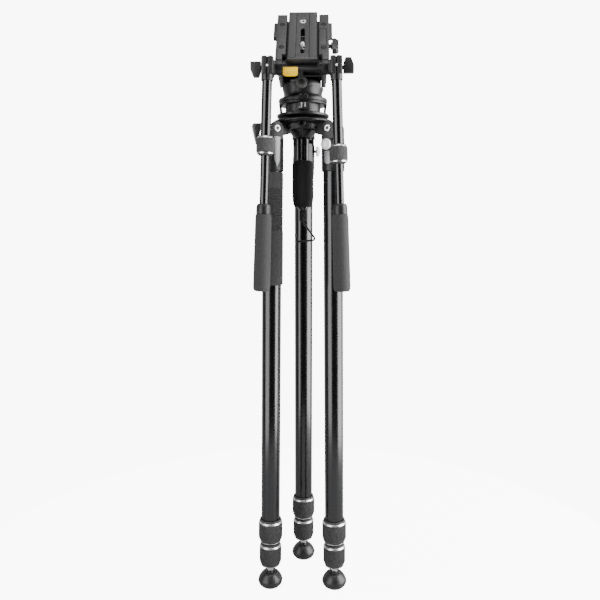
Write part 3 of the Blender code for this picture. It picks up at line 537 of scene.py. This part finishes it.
# Canopy: one turned and milled casting in satin black, which the legs hang on and the levelling ball sits in.
# Three lugs run out to the hinge pins, and a small threaded lug with a rib under it faces the front.
# A raised bead runs round the rim.
CANOPY = [(25, 750.2), (26.2, 750.2), (42.6, 750.2), (44.8, 749.5), (45.6, 748.4), (45.6, 746.6)]
CANOPY += [(44.4, 745.4), (41, 744.6), (37, 743.8), (34.2, 742.6), (34, 741), (34, 736), (33.2, 735)]
CANOPY += [(27.6, 735), (27, 745.8), (21, 736.6), (15, 731.9), *sweep((0, 757), 24.4, -52, -20, 5)]
HUB = [(28.5, 728), (44.4, 725.6), *sweep((53, 734), 8.4, -60, 90, 16), (40.5, 744.4), (28.5, 744.4)]
HUB_HALF = 11.5
shell = [lathe(CANOPY, Matrix(), 128, 0.3)]
for leg in LEGS:
    hinge = Vector(joints[f"{leg}_spread"]["pos_m"])
    aside = Matrix.Rotation(math.atan2(hinge.y, hinge.x), 4, "Z") @ ON_SIDE
    shell.append(plate_mesh(HUB, -HUB_HALF, HUB_HALF, aside, 0.8))
LUG = [(6, 33), (6, 39.6), (5.2, 40.4), (3, 40.4), (2.6, 39.4), (2.6, 34), (2.6, 33)]
lug_at = Matrix.Translation((-0.001, 0, 0.742)) @ ON_SIDE
shell.append(lathe(LUG, lug_at, 40, 0.2))
LUG_RIB = [(-1.4, 0), (1.4, 0), (1.4, 12), (-1.4, 12)]
rib_at = Matrix.Translation((-0.001, 0, 0.7265)) @ ON_SIDE
shell.append(plate_mesh(LUG_RIB, 33, 36, rib_at, 0.4))
fitted("canopy_casting", joined(*shell), casting, "canopy", "satin_black_casting", "canopy")
BEAD = [(45.7, 748.3), (45.9, 747.9), (45.9, 747.2), (45.7, 746.8), (45.3, 746.8), (45.3, 748.3)]
fitted("canopy_rim_edge", lathe(BEAD, Matrix(), 128, 0), casting, "canopy", "satin_black_casting")


# Clamp lever: a moulded cam lever, pinned in the canopy's side, which draws the clamp cup up.
# It is black glass-filled nylon with a fine moulded grain and a steel cross pin; a lighter metal blade on its
# rim is a painted highlight.
def softened(node, width):
    """A copy of a CAD node's mesh with its corners merged, flat faces joined and edges rounded, in mm."""
    same_place, flat, sharp = 0.00001, 0.02, math.radians(32)
    form = bmesh.new()
    form.from_mesh(frame["nodes"][node].data)
    bmesh.ops.remove_doubles(form, verts=form.verts, dist=same_place)
    bmesh.ops.dissolve_limit(form, angle_limit=flat, verts=form.verts, edges=form.edges)
    mesh = bpy.data.meshes.new(node + "_shape")
    form.to_mesh(mesh)
    form.free()
    maker = bpy.data.objects.new("maker", mesh)
    bpy.context.scene.collection.objects.link(maker)
    edge = maker.modifiers.new("edges", "BEVEL")
    edge.width = width / 1000
    edge.segments = 2
    edge.limit_method = "ANGLE"
    edge.angle_limit = sharp
    shown = maker.evaluated_get(bpy.context.evaluated_depsgraph_get())
    result = bpy.data.meshes.new_from_object(shown)
    bpy.data.objects.remove(maker)
    result.shade_smooth()
    result.set_sharp_from_angle(angle=sharp)
    return result


nylon, tree, shader, place = new_finish("moulded_black_nylon", (0.01, 0.01, 0.01), 0.42, 0.0)
tree.links.new(between(tree, speckle(tree, place, 600, 4), 0.34, 0.52), shader.inputs["Roughness"])
toned(tree, shader, speckle(tree, place, 110, 4), (0.008, 0.008, 0.008), (0.015, 0.015, 0.015))
raised(tree, shader, speckle(tree, place, 2200, 3), 0.00003, 0.4)
fitted("clamp_lever_arm", softened("clamp_lever", 0.7), nylon, "clamp_lever", "black_plastic", "clamp_lever")
pivot = Matrix.Translation(Vector(joints["clamp_lever_turn"]["pos_m"])) @ ON_SIDE
# Painted highlight: the blade is lighter metal along the lever's outer rim, standing for the grey highlight
# there.
RIM_HIGHLIGHT = [(-18.9, -27.9), (-22.4, -28.2), (-27.2, -8), *sweep((-23.5, -0.5), 4.7, 190, 60, 9), (-22.6, -4)]
rim_highlight = plate_mesh(RIM_HIGHLIGHT, -5.9, 5.9, pivot, 0.5)
fitted("clamp_lever_rim_highlight", rim_highlight, highlight_metal, "clamp_lever", "black_plastic")
cross_pin = lathe([(0, 5.6), (2, 5.6), (2, -5.6), (0, -5.6)], pivot, 32, 0.3)
fitted("clamp_lever_pin", cross_pin, steel, "clamp_lever", "bright_steel")


# Levelling ball: the head's foot, a hollow ball with a flange, drawn down into the canopy by a cup.
# Both are turned and finished in the castings' satin black, and the cup stays level below the ball.
BALL = [(0, 2.4), (39.4, 2.4), (40.4, 1.6), (40.4, -1.2), (39.6, -2), (36.5, -3.2), (30, -3.6), (24, -3.7)]
BALL += [*sweep((0, 0), 24, -14, -70, 8), (7, -23.4), (7, -57), (0, -57)]
centre = Matrix.Translation(Vector(joints["level_tilt_fore"]["pos_m"]))
ball = lathe(BALL, centre, 128, 0.3)
fitted("level_ball_turned", ball, casting, "level_ball", "satin_black_casting", "level_ball")
CUP = [(21.5, -20.6), (21.5, -21.8), (18.6, -26.4), (13.7, -32.4), (10.5, -32.4), (10.5, -27.7)]
CUP += [(14, -26.1), (18, -23.5)]
cup = lathe(CUP, centre, 96, 0.3)
fitted("level_cup_turned", cup, casting, "level_cup", "black_anodised", "level_cup")


# Levelling handle: a turned bar that screws up the ball's stem, with a foam grip pushed over it.
# Its top is chamfered to clear the clamp cup when the ball tilts, and the strap hangs from its foot.
black_foam, tree, shader, place = new_finish("black_foam", (0.012, 0.012, 0.012), 0.9, 0.0)
toned(tree, shader, speckle(tree, place, 600, 6), (0.002, 0.002, 0.002), (0.006, 0.006, 0.006))
pores = tree.nodes.new("ShaderNodeTexVoronoi")
pores.inputs["Scale"].default_value = 1000
tree.links.new(place, pores.inputs["Vector"])
raised(tree, shader, pores.outputs["Distance"], 0.0002, 0.5)
BAR = [(0, -32.8), (7.5, -32.8), (9.2, -34.2), (9.2, -67)]
BAR += [(9.2, -139.2), (8, -141), (6, -143.7), (0, -143.7)]
bar = lathe(BAR, centre, 72, 0)
fitted("level_handle_bar", bar, anodised, "level_handle", "black_anodised", "level_handle")
HAND = [(9.5, -67.2), (12.6, -67.2), (14.8, -68.6), (16.2, -71.4), (16.7, -75), (16.7, -122)]
HAND += [(16.4, -127), (15.4, -133), (14, -137.4), (12.4, -138.6), (9.5, -138.6)]
hand = lathe(HAND, centre, 84, 0, 60)
fitted("level_handle_foam", hand, black_foam, "level_handle", "black_foam", "level_grip")


# Strap and weight hook: a stitched loop of nylon webbing under the handle, with a bent wire hook in it.
# The webbing shows a slanting weave, and the wire has the castings' black finish.
webbing, tree, shader, place = new_finish("woven_webbing", (0.02, 0.02, 0.02), 0.85, 0.0)
weave = tree.nodes.new("ShaderNodeTexWave")
weave.wave_type = "BANDS"
weave.bands_direction = "DIAGONAL"
weave.inputs["Scale"].default_value = 260
weave.inputs["Distortion"].default_value = 0.6
tree.links.new(place, weave.inputs["Vector"])
toned(tree, shader, weave.outputs["Fac"], (0.012, 0.012, 0.012), (0.04, 0.04, 0.04))
raised(tree, shader, weave.outputs["Fac"], 0.0002, 0.7)
shader.inputs["Sheen Weight"].default_value = 0.3
low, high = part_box("hook_strap")
strap_top, strap_low = high.z * 1000, low.z * 1000
STRAP_HALF, PLIES = 5.5, 0.95
edge_on = Matrix(((0, 0, 1, 0), (1, 0, 0, 0), (0, 1, 0, 0), (0, 0, 0, 1)))
fold = [(-PLIES, strap_top), (PLIES, strap_top), (PLIES, strap_low + 3)]
fold += [*sweep((0, strap_low + 1.3), 1.35, 20, -200, 14), (-PLIES, strap_low + 3)]
strap = plate_mesh(fold, -STRAP_HALF, STRAP_HALF, edge_on, 0.3)
fitted("hook_strap_webbing", strap, webbing, "hook_strap", "black_webbing", "hook_strap")
COATING = 0.00035
wire = softened("weight_hook", 0.01)
for point in wire.vertices:
    point.co += point.normal * COATING
fitted("weight_hook_wire", wire, casting, "weight_hook", "satin_black_casting", "weight_hook")


# Head base: a turned ring under the head with two posts down to the ball's flange, and a slot round it.
# A square latch with bright bars stands in front, under a small cast tab with two bright pins.
BASE = [(0, 783), (36, 783), (37.2, 782.2), (37.6, 780.8), (37.6, 777.4), (36.8, 776.9), (35.6, 776.7)]
BASE += [(35.6, 775.4), (36.8, 775.2), (37.5, 774.8), (37, 773.4), (35.8, 773.1), (27, 773.1), (27, 761)]
BASE += [(25.6, 759.8), (0, 759.8)]
POST_HALF = 5.5
parts = [lathe(BASE, Matrix(), 128, 0.3)]
for side in (-1, 1):
    post = [(side * 31.6, 760.2), (side * 35.2, 760.2), (side * 36.8, 774), (side * 33, 774)]
    parts.append(plate_mesh(post, -POST_HALF, POST_HALF, ON_SIDE, 0.5))
fitted("pan_base_turned", joined(*parts), casting, "level_ball", "satin_black_casting", "pan_base")


def bar_outline(middle, half, low, high):
    """A rectangle's corners, from its middle and half width and its lower and upper edge."""
    return [(middle - half, low), (middle + half, low), (middle + half, high), (middle - half, high)]


fitted("base_latch_head", softened("base_latch", 0.4), nylon, "base_latch", "black_plastic", "base_latch")
latch_at = Matrix.Translation((0.0024, 0, 0.7672)) @ ON_SIDE
# Each latch bar's middle, half width, lower and upper edge: two upright, one lying beside them.
LATCH_BARS = ((-3.6, 1.0, -2.2, 4.4), (1.6, 1.0, -2, 4.4), (-5.6, 1.9, -3.4, -1.8))
bars = [plate_mesh(bar_outline(*sizes), 39.4, 40.5, latch_at, 0.35) for sizes in LATCH_BARS]
fitted("base_latch_bars", joined(*bars), steel, "base_latch", "bright_steel")
tab = plate_mesh([(-6.6, 776.9), (8.3, 776.9), (7.6, 784), (-5.9, 784)], 33, 39.2, ON_SIDE, 0.7)
fitted("pan_base_tab", tab, casting, "level_ball", "satin_black_casting")
pins = [plate_mesh(bar_outline(x, 1.1, 783.2, 784), 38.6, 39.4, ON_SIDE, 0) for x in (-2.1, 4.6)]
fitted("pan_base_tab_pins", joined(*pins), steel, "level_ball", "bright_steel")


# Pan body: a round cast bowl that turns on the base and carries the tilt drum across it.
# It has the castings' satin black, and a grey ring lever on its front sets the drag.
lever_grey, tree, shader, place = new_finish("grey_cast_lever", (0.1, 0.1, 0.1), 0.42, 0.2)
toned(tree, shader, speckle(tree, place, 260, 5), (0.08, 0.08, 0.08), (0.12, 0.12, 0.12))
raised(tree, shader, speckle(tree, place, 2000, 3), 0.00003, 0.4)
FOOT_OF_BOWL = [(0, 798.6), (31.9, 798.6), (31, 795.5), (30, 792.6), (29.5, 790), (29.8, 787.4), (31, 785.2)]
FOOT_OF_BOWL += [(32.4, 783.4), (0, 783.4)]
LIP_OF_BOWL = [(0, 808), (30.4, 808), (32, 807.2), (32.8, 805.8), (33, 803.6), (32.8, 801.2), (31.9, 798.5)]
LIP_OF_BOWL += [(0, 798.5)]
LIP_HALF = 27.8


def trimmed(mesh, half_width):
    """The mesh cut flat at both sides, at a distance in mm from the middle."""
    form = bmesh.new()
    form.from_mesh(mesh)
    for side in (-1, 1):
        everything = form.verts[:] + form.edges[:] + form.faces[:]
        spot = (side * half_width / 1000, 0, 0)
        cut = bmesh.ops.bisect_plane(
            form, geom=everything, plane_co=spot, plane_no=(side, 0, 0), clear_outer=True
        )
        rim = [e for e in cut["geom_cut"] if isinstance(e, bmesh.types.BMEdge)]
        bmesh.ops.contextual_create(form, geom=rim)
    form.to_mesh(mesh)
    form.free()
    return mesh


TO_SIDE = Matrix.Rotation(math.radians(90), 4, "Y")
tilt_at = Vector(joints["tilt"]["pos_m"])
drum_at = Matrix.Translation(tilt_at) @ TO_SIDE
DRUM = [(0, 34), (7, 34), (7, 27.8), (19.6, 27.8), (21, 26.6), (21, -26.6), (19.6, -27.8), (7, -27.8)]
DRUM += [(7, -34), (0, -34)]
lever_at = Matrix.Translation(Vector(joints["drag_lever_turn"]["pos_m"])) @ ON_SIDE
BOSS = [(0, 39.4), (3, 39.4), (3, 34.2), (6.6, 34.2), (6.6, 14), (0, 14)]
foot = lathe(FOOT_OF_BOWL, Matrix(), 128, 0.2)
lip = trimmed(lathe(LIP_OF_BOWL, Matrix(), 128), LIP_HALF)
bowl = joined(foot, lip, lathe(DRUM, drum_at, 96), lathe(BOSS, lever_at, 48, 0.2))
fitted("pan_body_casting", bowl, casting, "pan_body", "dark_grey_head", "pan_body")
lever = softened("drag_lever", 0.5)
fitted("drag_lever_ring", lever, lever_grey, "drag_lever", "dark_grey_head", "drag_lever")
cap = lathe([(0, 39.9), (2.9, 39.9), (3.9, 39.5), (3.9, 39.2), (0, 39.2)], lever_at, 40, 0.1)
fitted("drag_lever_cap", cap, nylon, "pan_body", "black_plastic")


# Cradle: the tilting casting, with a cheek on each end of the drum, a deck and a rear bar.
# It is satin black, and each side ends in a toothed rosette for a pan handle.
fitted("cradle_casting", softened("cradle", 0.5), casting, "cradle", "satin_black_casting", "cradle")
COVER_OUT, COVER_IN, ROSETTE_OUT, ROSETTE_TEETH = 36.2, 35, 37.2, 36
rosette_at = Matrix.Translation(Vector(joints["left_handle_angle"]["pos_m"])) @ TO_SIDE
for side in (-1, 1):
    disc = [(0, side * COVER_OUT), (11, side * COVER_OUT), (12.4, side * COVER_IN), (0, side * COVER_IN)]
    fitted(f"tilt_cover_{side + 1}", lathe(disc, drum_at, 72, 0.3), nylon, "cradle", "black_plastic")
    middle = side * ROSETTE_OUT
    teeth = ribs_round(casting, rosette_at, middle, ROSETTE_TEETH, 7.6, width=0.9, depth=4.6, length=1.4)
    fitted(f"rosette_teeth_{side + 1}", teeth, casting, "cradle", "satin_black_casting")


# Platform: a grey machined channel that the camera plate slides in, screwed to the cradle's deck.
# Its paint is matt dark grey with a fine texture, and each rail has two hex screws; their sinks and key holes
# are near-black painted shade.
# The right rail carries a clamp block with its own knob, and the left rail a release button.
head_paint, tree, shader, place = new_finish("matt_grey_head_paint", (0.04, 0.04, 0.041), 0.5, 0.1)
toned(tree, shader, speckle(tree, place, 260, 6), (0.026, 0.026, 0.027), (0.038, 0.038, 0.039))
tree.links.new(between(tree, speckle(tree, place, 500, 4), 0.42, 0.6), shader.inputs["Roughness"])
raised(tree, shader, speckle(tree, place, 2400, 3), 0.00005, 0.6)

nose = Vector(joints["plate_slide"]["axis"])
up = Vector(joints["camera_screw_turn"]["axis"])
deck = Matrix((Vector((1, 0, 0)), nose, up)).transposed().to_4x4()
deck = Matrix.Translation(tilt_at) @ deck
fitted("platform_channel", softened("platform", 0.5), head_paint, "cradle", "dark_grey_head", "platform")
block = softened("clamp_block", 0.4)
fitted("clamp_block_jaw", block, head_paint, "clamp_block", "dark_grey_head", "clamp_block")
button = softened("release_button", 0.4)
fitted("release_button_cap", button, nylon, "release_button", "black_plastic", "release_button")
wing = softened("platform_knob", 0.9)
fitted("platform_knob_moulding", wing, nylon, "platform_knob", "black_plastic", "platform_knob")
# Each screw's place on the deck in metres; heights in mm are above the tilt axis.
RAIL_SCREWS = ((-0.0313, 0.0575), (-0.0313, -0.001), (0.0313, 0.0575), (0.0313, -0.003))
SINK_SHADE = [(0, 50.16), (4.2, 50.16), (4.5, 49.9), (0, 49.9)]
SCREW_HEAD = [(1.1, 50.3), (1.8, 50.3), (2.0, 50.18), (2.0, 49.9), (1.1, 49.9)]
SCREW_KEY_SHADE = 1.05
for number, (x, t) in enumerate(RAIL_SCREWS):
    spot = deck @ Matrix.Translation((x, t, 0))
    # Painted shade: a near-black disc for the screw's countersink and a near-black hexagon for its key hole.
    sink_shade = lathe(SINK_SHADE, spot, 40, 0)
    fitted(f"rail_screw_sink_shade_{number}", sink_shade, black_foam, "cradle", "black_plastic")
    head = lathe(SCREW_HEAD, spot, 40, 0)
    fitted(f"rail_screw_{number}", head, casting, "cradle", "dark_grey_head")
    key = plate_mesh(hexagon(SCREW_KEY_SHADE), 50.1, 50.2, spot, 0)
    fitted(f"rail_screw_key_shade_{number}", key, black_foam, "cradle", "black_plastic")


# Safety button: a moulded yellow button in the cradle's rear bar.
# Pressing it lets the plate slide off; the plastic is smooth, slightly mottled and has a low gloss.
yellow, tree, shader, place = new_finish("yellow_button_plastic", (0.95, 0.6, 0.0), 0.55, 0.0)
toned(tree, shader, speckle(tree, place, 200, 4), (0.86, 0.53, 0.0), (0.94, 0.58, 0.0))
raised(tree, shader, speckle(tree, place, 1800, 2), 0.00003, 0.3)
shader.inputs["Specular IOR Level"].default_value = 0.2
PRESS = [(-27.8, 44), *sweep((-23.2, 39.6), 4.6, 180, 270, 8)]
PRESS += [*sweep((-10.8, 39.6), 4.6, 270, 360, 8), (-6.2, 44)]
safety = plate_mesh(PRESS, 41, 51, deck @ ON_SIDE, 0.6)
fitted("safety_button_cap", safety, yellow, "safety_button", "yellow_plastic", "safety_button")


# Camera plate: a milled plate with a long slot, a bridge in the slot, and two rubber pads; the grooves beside
# the pads are near-black painted shade.
# A steel camera screw runs in the slot, and a ring screw fixes the front stop; its middle and three gaps are
# near-black painted shade.
pad_rubber, tree, shader, place = new_finish("grey_pad_rubber", (0.06, 0.06, 0.06), 0.8, 0.0)
toned(tree, shader, speckle(tree, place, 900, 5), (0.032, 0.032, 0.032), (0.048, 0.048, 0.048))
raised(tree, shader, speckle(tree, place, 2500, 4), 0.0001, 0.7)
plate = softened("camera_plate", 0.3)
fitted("camera_plate_milled", plate, head_paint, "camera_plate", "dark_grey_head", "camera_plate")
PAD_MIDDLE, PAD_HALF, PAD_TAIL, PAD_NOSE = 15.6, 5.2, -27, 90
GROOVE_SHADE_MIDDLES, GROOVE_SHADE_HALF = (9.9, 21.3), 0.45
for side in (-1, 1):
    strip = bar_outline(side * PAD_MIDDLE, PAD_HALF, PAD_TAIL, PAD_NOSE)
    pad = plate_mesh(strip, 49.8, 50.35, deck, 0.25)
    fitted(f"plate_pad_{side + 1}", pad, pad_rubber, "camera_plate", "black_rubber")
    # Painted shade: a near-black strip in each groove beside the pad.
    groove_shades = [bar_outline(side * x, GROOVE_SHADE_HALF, PAD_TAIL, PAD_NOSE) for x in GROOVE_SHADE_MIDDLES]
    groove_shades = joined(*(plate_mesh(seam, 49.8, 50.12, deck, 0) for seam in groove_shades))
    fitted(f"plate_pad_groove_shades_{side + 1}", groove_shades, black_foam, "camera_plate", "black_rubber")
STOP_SCREW = [(2.0, 50.32), (4.6, 50.32), (4.8, 50.1), (4.8, 49.9), (2.0, 49.9)]
STOP_GAP_SHADE = [(1.7, -0.6), (4.9, -0.6), (4.9, 0.6), (1.7, 0.6)]
stop_at = deck @ Matrix.Translation((0, 0.065, 0))
ring = lathe(STOP_SCREW, stop_at, 48, 0.1)
fitted("front_stop_screw", ring, satin_knob, "camera_plate", "bright_steel")
# Painted shade: a near-black disc in the ring's middle and a near-black bar in each of its three gaps.
gap_shades = [plate_mesh(sweep((0, 0), 2.0, 0, 345, 24), 49.9, 50.05, stop_at, 0)]
for angle in (90, 210, 330):
    turned = stop_at @ Matrix.Rotation(math.radians(angle), 4, "Z")
    gap_shades.append(plate_mesh(STOP_GAP_SHADE, 50, 50.4, turned, 0))
fitted("front_stop_gap_shades", joined(*gap_shades), black_foam, "camera_plate", "black_plastic")
bridge = plate_mesh([(-3.2, 24.6), (3.2, 24.6), (3.2, 26.8), (-3.2, 26.8)], 46.5, 49.6, deck, 0.2)
fitted("slot_bridge", bridge, head_paint, "camera_plate", "dark_grey_head")
STUD = [(0, 54.5), (1.7, 54.5), (2.3, 54.1), (2.8, 53.4), (2.8, 50.2), (2.8, 46.2), (4.8, 46.2), (4.8, 42.6)]
STUD += [(0, 42.6)]
stud = lathe(STUD, deck @ Matrix.Translation((0, 0.003, 0)), 40, 0.15)
fitted("camera_screw_turned", stud, satin_knob, "camera_screw", "bright_steel", "camera_screw")


# Pan handles: a split clamp on each rosette holds a tube, and a wing knob tightens it.
# A twist collar on the tube's end grips a thinner rod that slides out, with a foam grip on its end.
grip_foam, tree, shader, place = new_finish("grey_grip_foam", (0.035, 0.035, 0.035), 0.8, 0.0)
toned(tree, shader, speckle(tree, place, 650, 6), (0.014, 0.014, 0.014), (0.027, 0.027, 0.027))
pores = tree.nodes.new("ShaderNodeTexVoronoi")
pores.inputs["Scale"].default_value = 1100
tree.links.new(place, pores.inputs["Vector"])
raised(tree, shader, pores.outputs["Distance"], 0.0002, 0.5)
shader.inputs["Sheen Weight"].default_value = 0.03

HANDLE_TOP_Z, CLAMP_BOLT_Z = 816.3, 0.8145
COLLAR_TOPS = {"left": 718, "right": 706}
COLLAR_DEPTH, COLLAR_RIBS = 19, 64
COLLAR = [(7.8, 0), (10.4, 0), (11.8, -3.2), (13, -4.6), (13, -22.4), (12.2, -23.6), (11.4, -26), (8.8, -28)]
COLLAR += [(6.8, -28), (6.8, -20.5), (7.8, -20.5)]
TOP_RING = [(11, -1), (12.2, -3.4), (10, -3.4), (9.6, -1)]
LOW_RING = [(12.4, -23.6), (12.1, -25.6), (10, -25.6), (10, -23.6)]
# The grip's outline down from its neck: radius in mm and height above the floor.
GRIP = [(10.8, 605.8), (11.6, 604), (12, 598), (12.2, 570), (12.4, 545), (12.6, 520), (12.6, 499)]
GRIP += [(12.2, 495.6), (11, 493.6), (9.4, 493)]
for side in ("left", "right"):
    handle = f"{side}_handle"
    down = Vector(joints[f"{handle}_extend"]["axis"])
    top = Vector(joints[f"{handle}_collar_twist"]["pos_m"])
    across = Vector((1, 0, 0))
    across = (across + down * -across.dot(down)).normalized()
    at = Matrix((across, (-down).cross(across), -down)).transposed().to_4x4()
    at = Matrix.Translation(top) @ at
    stretch = 1 / -down.z

    def level(height):
        """A height above the floor, in mm, as a distance up the handle's tube from its top."""
        return (height - HANDLE_TOP_Z) * stretch

    clamp = softened(f"{handle}_clamp", 0.7)
    fitted(f"{handle}_clamp_moulding", clamp, nylon, handle, "black_plastic", f"{handle}_clamp")
    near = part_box(f"{handle}_clamp")[0].y
    bolt_at = Matrix.Translation((top.x, near, CLAMP_BOLT_Z)) @ ON_SIDE
    bolt = lathe([(0, 0.7), (1.1, 0.5), (1.6, 0.1), (1.6, -0.8), (0, -0.8)], bolt_at, 32, 0)
    fitted(f"{handle}_clamp_bolt", bolt, satin_knob, handle, "bright_steel")
    knob = f"{handle}_wing_knob"
    fitted(f"{handle}_wing_moulding", softened(knob, 0.9), nylon, knob, "black_plastic", knob)

    collar_top = level(COLLAR_TOPS[side])
    tube_end = collar_top - COLLAR_DEPTH
    pipe = lathe([(7.4, 6.4), (7.4, tube_end), (6.75, tube_end), (6.75, 6.4)], at, 72, 0.2)
    fitted(f"{handle}_pipe", pipe, anodised, handle, "black_anodised", f"{handle}_tube")
    rod = lathe([(0, level(808)), (6.4, level(808)), (6.4, level(600)), (0, level(600))], at, 72)
    fitted(f"{handle}_rod_turned", rod, anodised, f"{handle}_rod", "black_anodised", f"{handle}_rod")

    node = f"{handle}_collar"
    sleeve = lathe([(r, collar_top + z) for r, z in COLLAR], at, 84, 0.2)
    fitted(node + "_sleeve", sleeve, grip_rubber, node, "black_rubber", node)
    for label, outline in (("top", TOP_RING), ("low", LOW_RING)):
        ring = lathe([(r, collar_top + z) for r, z in outline], at, 84, 0.3)
        fitted(f"{node}_{label}_ring", ring, steel, node, "bright_steel")
    middle = collar_top - 13.4
    ribs = ribs_round(grip_rubber, at, middle, COLLAR_RIBS, 12.85, width=0.8, depth=0.8, length=17)
    fitted(node + "_ribs", ribs, grip_rubber, node, "black_rubber")

    neck_top, neck_end = level(621), level(606)
    neck = [(6.8, neck_top), (8.8, neck_top), (9.8, neck_top - 1), (10.7, neck_top - 4), (11, neck_end)]
    neck = lathe([*neck, (6.8, neck_end)], at, 72, 0.3)
    fitted(f"{handle}_grip_neck", neck, casting, f"{handle}_rod", "black_plastic")
    hold = [(0, level(GRIP[0][1])), *((r, level(z)) for r, z in GRIP), (0, level(GRIP[-1][1]))]
    grip = lathe(hold, at, 84, 0, 60)
    fitted(f"{handle}_grip_foam", grip, grip_foam, f"{handle}_rod", "black_foam", f"{handle}_grip")
